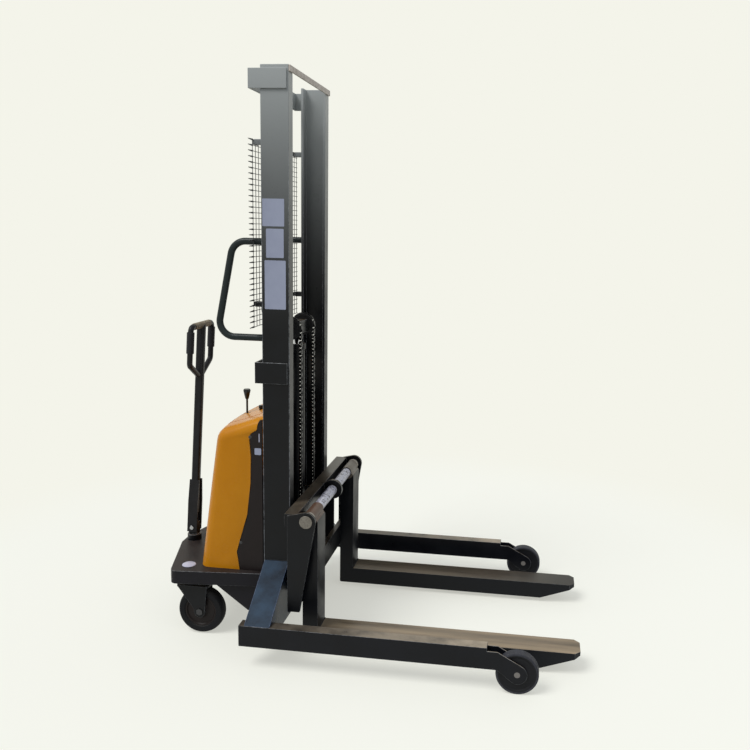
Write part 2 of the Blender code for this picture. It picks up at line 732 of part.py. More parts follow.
def leaned(bm):
    """Tips a shape drawn upright over the tiller pivot to the tiller's resting lean."""
    turn = Matrix.Rotation(TILLER_LEAN, 3, "Y")
    bmesh.ops.rotate(bm, verts=bm.verts, cent=(TILLER_X, 0, TILLER_PIVOT_Z), matrix=turn)
    return bm


def make_tiller():
    pivot = (TILLER_X, 0, TILLER_PIVOT_Z)
    x, z = TILLER_X, TILLER_PIVOT_Z
    inner = TILLER_BLOCK / 2 + RUN
    outer = inner + TILLER_CHEEK
    tube = TILLER_TUBE / 2
    shapes = []
    for sign in (-1, 1):
        cheek = [(sign * inner, z - 0.018), (sign * outer, z - 0.018),
                 (sign * outer, z + 0.110), (sign * (tube + 0.001), z + 0.200),
                 (sign * (inner - 0.006), z + 0.200), (sign * inner, z + 0.110)]
        shapes.append(prism(cheek, "x", x - 0.020, x + 0.020))
    post = rounded([(x - tube, -tube), (x + tube, -tube), (x + tube, tube), (x - tube, tube)],
                   [0.007] * 4, 3)
    shapes.append(prism(post, "z", z + 0.060, z + LOOP_HIGH))
    shapes.append(pipe(loop_path(), LOOP_PIPE_R, 12))
    hole = rod(TILLER_PIN_R + BORE_GAP, "y", pivot, 0.100, 20)
    finish("tiller_arm", leaned(carved(shapes[0], shapes[1:], [hole])), BLACK, pivot)

    pin = rod(TILLER_PIN_R, "y", pivot, 2 * outer + 0.008, 20)
    finish("tiller_pin", pin, STEEL, pivot)

    for side, sign in SIDES:
        middle = (x, sign * LOOP_HALF, z + GRIP_LOW + GRIP_LENGTH / 2)
        grip = ring(GRIP_R, LOOP_PIPE_R + BORE_GAP, "z", middle, GRIP_LENGTH, 20)
        finish("tiller_grip_" + side, leaned(grip), RUBBER, pivot)


def loop_path():
    """Centre line of the handle loop: out from the tube, up both grips and over the top."""
    x, z = TILLER_X, TILLER_PIVOT_Z
    low, high = z + LOOP_LOW, z + LOOP_HIGH
    shoulder = low + 0.048
    start = TILLER_TUBE / 2 - 0.006
    corners = [
        (x, -start, low), (x, -start - 0.012, low), (x, -LOOP_HALF, shoulder),
        (x, -LOOP_HALF, high), (x, LOOP_HALF, high), (x, LOOP_HALF, shoulder),
        (x, start + 0.012, low), (x, start, low),
    ]
    return bent(corners, 0.018, 4)


# ---- hood and what is under it ----------------------------------------------------------

def hood_front_edge():
    """The hood's front edge from the platform up, in side view."""
    low = PLATFORM_TOP + TOUCH
    return [
        (HOOD_WAIST_X + 0.010, low), (HOOD_WAIST_X, HOOD_WAIST_Z),
        (HOOD_WAIST_X + 0.012, HOOD_WAIST_Z + 0.044), (HOOD_FRONT_X - 0.014, 0.477),
        (HOOD_FRONT_X, 0.600), (HOOD_FRONT_X + 0.002, 0.700), (HOOD_FRONT_X - 0.004, 0.772),
        (HOOD_FRONT_X + 0.002, HOOD_FRONT_STEP_Z - 0.015),
        (HOOD_FRONT_X + 0.025, HOOD_FRONT_STEP_Z),
        (HOOD_FRONT_X + 0.029, HOOD_FRONT_STEP_Z + 0.024),
        (HOOD_FRONT_X + 0.034, HOOD_FRONT_END_Z - 0.002), (HOOD_FRONT_TOP_X, HOOD_FRONT_END_Z),
    ]


def hood_body(inset, front):
    """The hood as a rounded solid up to front; the inner copy also pokes out below."""
    low = PLATFORM_TOP + TOUCH - (0.020 if inset else 0)
    half = HOOD_HALF - inset
    rear_top = HOOD_REAR_TOP_X + inset
    outline = [
        (HOOD_REAR_LOW_X + inset, low), (HOOD_REAR_MID_X + inset, HOOD_REAR_MID_Z),
        (rear_top, hood_top(rear_top) - inset), (front, hood_top(front) - inset), (front, low),
    ]
    bm = prism(outline, "y", -half, half)
    bmesh.ops.recalc_face_normals(bm, faces=bm.faces)
    soft = []
    shoulder = HOOD_TOP_AT_REAR - inset - 1e-4
    for edge in bm.edges:
        a, b = (vert.co for vert in edge.verts)
        at_rear = max(a.x, b.x) < rear_top + 1e-4
        on_side = abs(a.y - b.y) < 1e-6
        rim = on_side and (at_rear or min(a.z, b.z) > shoulder)
        ridge = not on_side and at_rear and (a.z + b.z) / 2 > shoulder
        if ridge or rim:
            soft.append(edge)
    bmesh.ops.bevel(bm, geom=soft, offset=HOOD_CORNER_R - inset, segments=5, profile=0.5,
                    affect="EDGES", clamp_overlap=True)
    for share in (-1, -0.75, -0.5, -0.25, 0, 0.25, 0.5, 0.75, 1):
        parts = list(bm.verts) + list(bm.edges) + list(bm.faces)
        bmesh.ops.bisect_plane(bm, geom=parts, plane_co=(0, share * HOOD_CROWN_HALF, 0),
                               plane_no=(0, 1, 0), dist=1e-6)
    parts = list(bm.verts) + list(bm.edges) + list(bm.faces)
    bmesh.ops.bisect_plane(bm, geom=parts, plane_co=(HOOD_CROWN_START, 0, 0),
                           plane_no=(1, 0, 0), dist=1e-6)
    for vert in bm.verts:
        across = max(0.0, 1 - (vert.co.y / HOOD_CROWN_HALF) ** 2)
        along = (HOOD_CROWN_START - vert.co.x) / (HOOD_CROWN_START - HOOD_REAR_TOP_X)
        vert.co.x -= HOOD_CROWN * across * min(max(along, 0.0), 1.0)
    bmesh.ops.triangulate(bm, faces=bm.faces)
    return bm


def make_hood():
    top = hood_ridge(LEVER_X)
    slot = block((LEVER_X - LEVER_SLOT / 2, -0.008, top - 0.030),
                 (LEVER_X + LEVER_SLOT / 2, 0.008, top + 0.030))
    keyhole = rod(KEY_R + RUN, "z", (KEY_X, 0, hood_ridge(KEY_X)), 0.040, 20)
    edge = hood_front_edge()
    below, ahead = PLATFORM_TOP - 0.020, HOOD_FRONT_TOP_X + 0.040
    front = [(edge[0][0], below), *edge, (ahead, HOOD_FRONT_END_Z), (ahead, below)]
    opening = prism(front, "y", -HOOD_HALF - 0.020, HOOD_HALF + 0.020)
    hollow = hood_body(HOOD_SHELL, HOOD_FRONT_TOP_X + 0.050)
    finish("hood", carved(hood_body(0, HOOD_FRONT_TOP_X), [], [hollow, opening, slot, keyhole]), YELLOW)

    cover_top = HOOD_FRONT_END_Z - SIDE_COVER_SEAM
    cover = [(x + SIDE_COVER_SEAM, min(z, cover_top)) for x, z in edge[:-1]]
    cover += [(HOOD_FRONT_TOP_X, cover_top), (HOOD_FRONT_TOP_X, PLATFORM_TOP + TOUCH)]
    for side, sign in SIDES:
        faces = (sign * (HOOD_HALF - 0.001), sign * (HOOD_HALF - 0.001 - HOOD_SHELL))
        finish("hood_side_cover_" + side, prism(cover, "y", *faces), PLASTIC)


def make_power_pack():
    floor = PLATFORM_TOP + TOUCH
    tank_low = (-0.215, -0.240, floor)
    tank_high = (-0.062, -0.105, floor + 0.170)
    finish("oil_tank", block(tank_low, tank_high), WHITE)

    mid_x = (tank_low[0] + tank_high[0]) / 2
    mid_y = (tank_low[1] + tank_high[1]) / 2
    seat = tank_high[2] + TOUCH
    unit = joined([
        block((mid_x - 0.055, mid_y - 0.045, seat), (mid_x + 0.055, mid_y + 0.045, seat + 0.055)),
        rod(0.056, "z", (mid_x, mid_y, seat + 0.130), 0.160, 28),
        rod(0.012, "z", (mid_x + 0.030, mid_y, seat + 0.215), 0.020, 12),
    ])
    finish("power_unit", unit, COPPER_RED)

    battery = block((-0.205, -0.090, floor), (-0.060, 0.240, floor + 0.220))
    finish("battery", battery, GREY)
    lid = floor + 0.220 + TOUCH
    finish("motor_controller", block((-0.200, 0.060, lid), (-0.100, 0.190, lid + 0.050)), STEEL)

    port_z = seat + 0.028
    start = Vector((mid_x + 0.055 + TOUCH, mid_y, port_z))
    end = Vector((CYLINDER_X - CYLINDER_R - TOUCH, 0, HOSE_PORT_Z))
    lead = Vector((0.012, 0, 0))
    route = [
        start, start + lead, start + 2 * lead, (-0.038, -0.120, 0.400),
        (-0.032, -0.040, 0.320), end - 3 * lead, end - 1.5 * lead, end,
    ]
    finish("hydraulic_hose", pipe(smooth_route(route, 5), 0.007, 8), RUBBER)


def smooth_route(points, per_span):
    """Points along a Catmull-Rom curve through the given points."""
    path = [Vector(p) for p in points]
    path = [path[0] * 2 - path[1]] + path + [path[-1] * 2 - path[-2]]
    curve = []
    for i in range(1, len(path) - 2):
        a, b, c, d = path[i - 1:i + 3]
        for k in range(per_span):
            t = k / per_span
            curve.append(0.5 * ((2 * b) + (c - a) * t + (2 * a - 5 * b + 4 * c - d) * t ** 2
                                + (3 * b - a - 3 * c + d) * t ** 3))
    curve.append(path[-2])
    return curve


def make_controls():
    pivot = (LEVER_X, 0, hood_ridge(LEVER_X) - LEVER_DROP)
    underside = hood_ridge(LEVER_X - 0.016) - HOOD_SHELL - TOUCH - RUN
    wall = 0.004
    yoke = block((LEVER_X - 0.016, -0.018, pivot[2] - 0.014),
                 (LEVER_X + 0.016, 0.018, underside))
    gap = block((LEVER_X - 0.030, -0.018 + wall, pivot[2] - 0.010),
                (LEVER_X + 0.030, 0.018 - wall, underside + 0.010))
    bore = rod(0.003 + BORE_GAP, "y", pivot, 0.060, 16)
    finish("lever_bracket", carved(yoke, [], [gap, bore]), STEEL)

    knob = [
        (0, 0), (LEVER_ROD_R, 0), (LEVER_ROD_R, LEVER_LENGTH - LEVER_KNOB_LENGTH),
        (LEVER_KNOB_R * 0.5, LEVER_LENGTH - LEVER_KNOB_LENGTH + 0.004),
        (LEVER_KNOB_R, LEVER_LENGTH - 0.006),
        (LEVER_KNOB_R * 0.85, LEVER_LENGTH), (0, LEVER_LENGTH),
    ]
    stick = turned(knob, "z", (LEVER_X, 0, pivot[2] - 0.003), 16)
    pin = rod(0.003, "y", pivot, 0.034, 16)
    finish("lowering_lever", joined([stick, pin]), PLASTIC, pivot)

    seat = hood_ridge(KEY_X)
    key = [(0, -0.016), (KEY_R, -0.016), (KEY_R, 0.004), (KEY_R + KEY_FLANGE, 0.004),
           (KEY_R + KEY_FLANGE, KEY_HEIGHT - 0.001), (KEY_R, KEY_HEIGHT), (0, KEY_HEIGHT)]
    finish("key_switch", turned(key, "z", (KEY_X, 0, seat + 0.002), 20), PLASTIC,
           (KEY_X, 0, seat))


# ---- guard and hand rails ---------------------------------------------------------------

def make_rails():
    for side, sign in SIDES:
        y = sign * RAIL_Y
        corners = [
            (-TOUCH, y, RAIL_HIGH), (-RAIL_TOP_REACH, y, RAIL_HIGH),
            (-RAIL_LOW_REACH, y, RAIL_LOW), (-TOUCH, y, RAIL_LOW),
        ]
        finish("hand_rail_" + side, pipe(bent(corners, RAIL_BEND_R, 6), RAIL_PIPE_R, 12), BLACK)


def make_guard():
    """The wire guard as a plain flat grille, with free wire ends on the near side."""
    pitch = 2 * GUARD_HALF / GUARD_COLUMNS
    bar = GUARD_WIRE
    rows = GUARD_ROWS
    low, high = GUARD_STRAP_LOW + GUARD_BAR, GUARD_HIGH - GUARD_BAR
    step = (high - low) / rows
    ys = [-GUARD_HALF - GUARD_TEETH]
    for i in range(GUARD_COLUMNS + 1):
        middle = -GUARD_HALF + i * pitch
        ys += [middle - bar / 2, middle + bar / 2]
    zs = [GUARD_LOW, GUARD_LOW + bar, GUARD_STRAP_LOW, low]
    for k in range(1, rows):
        zs += [low + k * step - bar / 2, low + k * step + bar / 2]
    zs += [high, GUARD_HIGH]
    bm = bmesh.new()
    rear, front = GUARD_X - GUARD_SHEET, GUARD_X
    grid = {}
    for x in (rear, front):
        for i, y in enumerate(ys):
            for k, z in enumerate(zs):
                grid[x, i, k] = bm.verts.new((x, y, z))

    def solid(i, k):
        if not (0 <= i < len(ys) - 1 and 0 <= k < len(zs) - 1):
            return False
        return not (i % 2 == 0 and k % 2 == 1)

    for i in range(len(ys) - 1):
        for k in range(len(zs) - 1):
            if not solid(i, k):
                continue
            for x in (rear, front):
                bm.faces.new((grid[x, i, k], grid[x, i + 1, k],
                              grid[x, i + 1, k + 1], grid[x, i, k + 1]))
            walls = (((i - 1, k), (i, k), (i, k + 1)), ((i + 1, k), (i + 1, k), (i + 1, k + 1)),
                     ((i, k - 1), (i, k), (i + 1, k)), ((i, k + 1), (i, k + 1), (i + 1, k + 1)))
            for cell, a, b in walls:
                if not solid(*cell):
                    bm.faces.new((grid[rear, *a], grid[rear, *b], grid[front, *b],
                                  grid[front, *a]))
    loose = [v for v in bm.verts if not v.link_faces]
    bmesh.ops.delete(bm, geom=loose, context="VERTS")
    bmesh.ops.dissolve_limit(bm, angle_limit=0.01, verts=bm.verts, edges=bm.edges)
    finish("mesh_guard", bm, STEEL)


# ---- lifting gear -----------------------------------------------------------------------

def make_cylinder():
    floor = BASE_BEAM_HIGH + TOUCH
    barrel = [
        (0, floor), (CYLINDER_R + 0.008, floor), (CYLINDER_R + 0.008, floor + 0.012),
        (CYLINDER_R, floor + 0.012), (CYLINDER_R, CYLINDER_TOP - GLAND_HEIGHT),
        (CYLINDER_R + 0.003, CYLINDER_TOP - GLAND_HEIGHT), (CYLINDER_R + 0.003, CYLINDER_TOP),
        (RAM_R + BORE_GAP, CYLINDER_TOP), (RAM_R + BORE_GAP, CYLINDER_TOP - GLAND_HEIGHT),
        (CYLINDER_BORE_R, CYLINDER_TOP - GLAND_HEIGHT), (CYLINDER_BORE_R, floor + 0.025),
        (0, floor + 0.025),
    ]
    finish("lift_cylinder", turned(barrel, "z", (CYLINDER_X, 0, 0), 28), BLACK)

    ram_top = CROSSHEAD_LOW - TOUCH
    piston_r = CYLINDER_BORE_R - BORE_GAP
    ram = [
        (0, PISTON_LOW), (piston_r, PISTON_LOW), (piston_r, PISTON_LOW + PISTON_HEIGHT),
        (RAM_R, PISTON_LOW + PISTON_HEIGHT), (RAM_R, ram_top), (0, ram_top),
    ]
    finish("lift_ram", turned(ram, "z", (CYLINDER_X, 0, 0), 24), STEEL)

    half_x = 0.022
    crosshead = joined([
        block((CYLINDER_X - half_x, -CROSSHEAD_HALF, CROSSHEAD_LOW),
              (CYLINDER_X + half_x, CROSSHEAD_HALF, CROSSHEAD_LOW + CROSSHEAD_HEIGHT)),
        rod(PULLEY_AXLE_R, "y", (CYLINDER_X, 0, PULLEY_Z),
            2 * (PULLEY_Y + PULLEY_WIDTH / 2 + 0.004), 20),
    ])
    finish("ram_crosshead", crosshead, BLACK, (CYLINDER_X, 0, PULLEY_Z))

    half = PULLEY_WIDTH / 2
    bore = PULLEY_AXLE_R + BORE_GAP
    lip = (PULLEY_WIDTH - CHAIN_WIDTH) / 2 - 0.0005
    profile = [
        (bore, -half), (PULLEY_R, -half), (PULLEY_R, -half + lip), (PULLEY_GROOVE_R, -half + lip),
        (PULLEY_GROOVE_R, half - lip), (PULLEY_R, half - lip), (PULLEY_R, half), (bore, half),
    ]
    for side, sign in SIDES:
        centre = (CYLINDER_X, sign * PULLEY_Y, PULLEY_Z)
        finish("chain_pulley_" + side, turned(profile, "y", centre, 24), STEEL, centre)


def make_chains():
    """Front strands hang to the carriage, rear strands to the mast; the pulleys part them."""
    anchor_top = MIDDLE_TIE_LOW + 0.036
    for side, sign in SIDES:
        low_y = sign * PULLEY_Y - CHAIN_WIDTH / 2
        high_y = sign * PULLEY_Y + CHAIN_WIDTH / 2
        front_low = ANCHOR_TOP + TOUCH
        finish("chain_front_" + side,
               block((FRONT_CHAIN_X - CHAIN_DEPTH / 2, low_y, front_low),
                     (FRONT_CHAIN_X + CHAIN_DEPTH / 2, high_y, PULLEY_Z)),
               STEEL, (FRONT_CHAIN_X, sign * PULLEY_Y, front_low))
        finish("chain_rear_" + side,
               block((REAR_CHAIN_X - CHAIN_DEPTH / 2, low_y, anchor_top + TOUCH),
                     (REAR_CHAIN_X + CHAIN_DEPTH / 2, high_y, PULLEY_Z)),
               STEEL, (REAR_CHAIN_X, sign * PULLEY_Y, anchor_top + TOUCH))

    reach = PULLEY_Y + CHAIN_WIDTH / 2 + 0.010
    rear = -MIDDLE_TIE_REACH + TIE_PLATE + TOUCH
    front = CYLINDER_X - CYLINDER_R - 0.003
    mast_anchor = block((rear, -reach, anchor_top - 0.026), (front, reach, anchor_top))
    finish("chain_anchor_mast", mast_anchor, BLACK)


# ---- carriage and forks -----------------------------------------------------------------

def side_plate_outline():
    outline = [(CARRIAGE_REAR, CARRIAGE_LOW), (CARRIAGE_REAR, CARRIAGE_SHOULDER)]
    outline += arc((SHAFT_X, SHAFT_Z), CARRIAGE_EYE_R, 105, -10, 12)
    outline.append((CARRIAGE_TOE, CARRIAGE_LOW))
    return outline


def make_carriage():
    inner = CARRIAGE_HALF - CARRIAGE_PLATE
    overlap = CARRIAGE_PLATE / 2
    shapes = []
    cuts = []
    for _, sign in SIDES:
        shapes.append(prism(side_plate_outline(), "y", sign * inner, sign * CARRIAGE_HALF))
        front = CROSS_BAR_REAR + 0.032
        bracket = [
            (BRACKET_REAR, CARRIAGE_LOW), (front, CARRIAGE_LOW), (front, CROSS_BAR_HIGH - 0.004),
            (CHANNEL_DEPTH + 0.012, CROSS_BAR_HIGH - 0.004),
            (CHANNEL_DEPTH + 0.012, BRACKET_SHOULDER), (BRACKET_REAR, BRACKET_SHOULDER),
        ]
        shapes.append(prism(bracket, "y", sign * BRACKET_Y, sign * (BRACKET_Y + BRACKET_PLATE)))
        for z in (ROLLER_LOW_Z, ROLLER_HIGH_Z):
            end = WEB_INNER - 0.004
            start = BRACKET_Y + overlap
            shapes.append(rod(ROLLER_PIN_R, "y", (ROLLER_X, sign * (start + end) / 2, z),
                              end - start, 16))
    shapes.append(block((CROSS_BAR_REAR, -inner - overlap, CROSS_BAR_LOW),
                        (CROSS_BAR_REAR + CROSS_BAR_DEPTH, inner + overlap, CROSS_BAR_HIGH)))
    shapes.append(block((STOP_BAR_REAR, -inner - overlap, STOP_BAR_LOW),
                        (STOP_BAR_REAR + STOP_BAR_DEPTH, inner + overlap, STOP_BAR_HIGH)))
    root = CROSS_BAR_REAR + CROSS_BAR_DEPTH - 0.006
    lug = [(root, CROSS_BAR_LOW - 0.010), (root, CROSS_BAR_HIGH - 0.002)]
    lug += arc((SHAFT_X, SHAFT_Z), LUG_EYE_R, 110, -120, 16)
    shapes.append(prism(lug, "y", -LUG_PLATE / 2, LUG_PLATE / 2))
    anchor_half = BRACKET_Y + overlap
    shapes.append(block((FRONT_CHAIN_X - CHAIN_DEPTH / 2 + RUN, -anchor_half,
                         ANCHOR_TOP - ANCHOR_HEIGHT),
                        (CHANNEL_DEPTH - 2 * RUN, anchor_half, ANCHOR_TOP)))
    cuts.append(rod(SHAFT_R + BORE_GAP, "y", (SHAFT_X, 0, SHAFT_Z), 2 * CARRIAGE_HALF + 0.1, 32))
    finish("carriage_frame", carved(shapes[0], shapes[1:], cuts), BLACK)

    face, end = CARRIAGE_HALF + TOUCH, CARRIAGE_HALF + SHAFT_PROUD
    shaft = turned([(0, -end), (SHAFT_HEAD_R, -end), (SHAFT_HEAD_R, -face), (SHAFT_R, -face),
                    (SHAFT_R, face), (SHAFT_HEAD_R, face), (SHAFT_HEAD_R, end), (0, end)],
                   "y", (SHAFT_X, 0, SHAFT_Z), 32)
    finish("fork_shaft", shaft, STEEL, (SHAFT_X, 0, SHAFT_Z))

    for side, sign in SIDES:
        for level, z in (("lower", ROLLER_LOW_Z), ("upper", ROLLER_HIGH_Z)):
            near_face = BRACKET_Y + BRACKET_PLATE + RUN
            centre = (ROLLER_X, sign * (near_face + ROLLER_WIDTH / 2), z)
            wheel = ring(ROLLER_R, ROLLER_PIN_R + BORE_GAP, "y", centre, ROLLER_WIDTH, 28)
            finish("mast_roller_" + side + "_" + level, wheel, STEEL, centre)


def make_forks():
    for side, sign in SIDES:
        inner, outer = sign * FORK_INNER, sign * (FORK_INNER + FORK_WIDTH)
        rear = SHANK_FRONT - FORK_SHANK
        shank = [
            (rear, FORK_LOW + 0.004), (rear + 0.004, FORK_LOW), (FORK_TIP_X - FORK_TAPER, FORK_LOW),
            (FORK_TIP_X, FORK_TOP - FORK_TIP_HEIGHT), (FORK_TIP_X, FORK_TOP),
            (SHANK_FRONT, FORK_TOP),
        ]
        bore = SHAFT_R + FORK_PLAY
        shank.append((SHANK_FRONT, SHAFT_Z - FORK_SHOULDER))
        shank += arc((SHAFT_X, SHAFT_Z), (FORK_EYE_R + bore) / 2, -10, -165, 10)
        shank.append((rear, SHAFT_Z - FORK_EYE_R))
        middle = (inner + outer) / 2
        eye = ring(FORK_EYE_R, bore, "y", (SHAFT_X, middle, SHAFT_Z),
                   FORK_WIDTH + 2 * FORK_EYE_PROUD, 32)
        cuts = []
        for edge in (inner, outer):
            inwards = 1 if edge < middle else -1
            reach = edge + inwards * FORK_TIP_CHAMFER
            wedge = [(FORK_TIP_X - FORK_TIP_CHAMFER - 0.010, edge - inwards * 0.010),
                     (FORK_TIP_X + 0.010, edge - inwards * 0.010),
                     (FORK_TIP_X + 0.010, reach + inwards * 0.010)]
            cuts.append(prism(wedge, "z", 0.0, 0.150))
        fork = carved(prism(shank, "y", inner, outer), [eye], cuts)
        finish("fork_" + side, fork, BLACK, (SHAFT_X, middle, SHAFT_Z))

        start = FORK_INNER + FORK_WIDTH + FORK_EYE_PROUD + TOUCH
        centre = (SHAFT_X, sign * (start + COLLAR_WIDTH / 2), SHAFT_Z)
        collar = ring(COLLAR_R, bore, "y", centre, COLLAR_WIDTH, 28)
        finish("fork_collar_" + side, collar, BROWN_STEEL, centre)


clear_scene()
make_mast()
make_base()
make_legs()
make_platform()
make_casters()
make_steering()
make_tiller()
make_hood()
make_power_pack()
make_controls()
make_rails()
make_guard()
make_cylinder()
make_chains()
make_carriage()
make_forks()
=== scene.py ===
import json
import math

import bmesh
import bpy
from mathutils import Matrix, Vector
from mathutils.bvhtree import BVHTree

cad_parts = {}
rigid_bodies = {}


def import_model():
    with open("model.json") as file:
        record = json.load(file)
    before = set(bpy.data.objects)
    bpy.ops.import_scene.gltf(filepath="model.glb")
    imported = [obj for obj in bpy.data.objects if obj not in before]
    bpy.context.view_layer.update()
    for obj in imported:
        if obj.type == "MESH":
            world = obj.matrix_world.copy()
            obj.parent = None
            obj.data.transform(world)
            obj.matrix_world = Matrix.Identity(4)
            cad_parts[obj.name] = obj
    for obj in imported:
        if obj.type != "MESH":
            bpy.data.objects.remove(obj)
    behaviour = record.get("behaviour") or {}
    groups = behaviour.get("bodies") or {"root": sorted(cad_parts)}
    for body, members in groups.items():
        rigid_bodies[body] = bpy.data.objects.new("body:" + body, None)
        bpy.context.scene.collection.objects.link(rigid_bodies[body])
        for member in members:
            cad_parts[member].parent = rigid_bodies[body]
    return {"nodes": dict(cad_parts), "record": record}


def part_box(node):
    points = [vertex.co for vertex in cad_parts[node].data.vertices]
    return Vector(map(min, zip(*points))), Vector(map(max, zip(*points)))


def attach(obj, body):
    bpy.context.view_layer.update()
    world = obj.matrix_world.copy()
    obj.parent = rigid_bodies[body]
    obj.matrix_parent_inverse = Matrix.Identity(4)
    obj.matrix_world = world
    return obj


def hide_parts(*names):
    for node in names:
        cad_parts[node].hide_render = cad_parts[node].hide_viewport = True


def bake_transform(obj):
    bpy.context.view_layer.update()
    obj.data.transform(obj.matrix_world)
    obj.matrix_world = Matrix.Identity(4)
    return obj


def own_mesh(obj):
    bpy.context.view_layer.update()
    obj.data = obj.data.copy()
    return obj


# Walkie stacker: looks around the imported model. Metres, +Z up, +X towards the fork tips.
# "near" is the -Y side, "far" the +Y side.

for old in list(bpy.data.objects):
    bpy.data.objects.remove(old)

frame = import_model()
nodes = frame["nodes"]
bodyOf = {node: body for body, names in frame["record"]["behaviour"]["bodies"].items() for node in names}
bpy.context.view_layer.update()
mastLow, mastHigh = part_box("mast_channel_near")
channelDepth = 0.100
mastX = mastHigh.x - channelDepth  # rear face of the mast channels
print("frame loaded:", len(nodes), "nodes")


# camera, floor and light

camera = {"lens": 39.5, "place": (0.597, -3.072, 1.541), "yaw": 7.77, "down": 9.0, "roll": 1.31,
          "shift": (-0.0665, -0.0213)}


def makeCamera(s):
    data = bpy.data.cameras.new("camera")
    data.lens, data.sensor_width = s["lens"], 36.0
    data.shift_x, data.shift_y = s["shift"]
    eye = bpy.data.objects.new("camera", data)
    bpy.context.scene.collection.objects.link(eye)
    yaw, down, roll = (math.radians(s[k]) for k in ("yaw", "down", "roll"))
    ahead = Vector((-math.sin(yaw) * math.cos(down), math.cos(yaw) * math.cos(down), -math.sin(down)))
    right = Vector((math.cos(yaw), math.sin(yaw), 0.0))
    up = right.cross(ahead)
    right, up = (right * math.cos(roll) + up * math.sin(roll), up * math.cos(roll) - right * math.sin(roll))
    turn = Matrix((right, up, -ahead)).transposed().to_4x4()
    eye.matrix_world = Matrix.Translation(s["place"]) @ turn
    bpy.context.scene.camera = eye


makeCamera(camera)


def linear(hexText):  # sRGB hex to linear colour
    parts = [int(hexText[i:i + 2], 16) / 255 for i in (0, 2, 4)]
    return tuple(v / 12.92 if v <= 0.04045 else ((v + 0.055) / 1.055) ** 2.4 for v in parts) + (1.0,)


def addNode(tree, kind, settings=None, inputs=None):  # one node with its settings and links
    node = tree.nodes.new(kind)
    for key, value in (settings or {}).items():
        setattr(node, key, value)
    for key, value in (inputs or {}).items():
        if isinstance(value, bpy.types.NodeSocket):
            tree.links.new(value, node.inputs[key])
        else:
            node.inputs[key].default_value = value
    return node


studio = {"backdrop": "F4F4EA", "fill": "E6ECF6", "fillStrength": 0.50, "fadeNear": 1.7, "fadeFar": 2.6,
          "glow": 0.53, "paper": "B9B9B1", "bounce": "8A8A84", "floorR": 60.0, "floorDrop": 0.0005,
          "sun": 1.9, "sunAngle": 30.0, "sunFrom": (-0.9, -0.85, 1.7),
          "soft": 8.0, "softPlace": (2.6, -2.2, 3.0), "softSize": 2.4, "softAim": (0, 0, 0.5)}


def cameraOrMirror(tree):  # seen directly, in a reflection or through glass
    path = addNode(tree, "ShaderNodeLightPath")
    seen = addNode(tree, "ShaderNodeMath", {"operation": "MAXIMUM"},
                   {0: path.outputs["Is Camera Ray"], 1: path.outputs["Is Glossy Ray"]})
    return addNode(tree, "ShaderNodeMath", {"operation": "MAXIMUM"},
                   {0: seen.outputs[0], 1: path.outputs["Is Transmission Ray"]}).outputs[0]


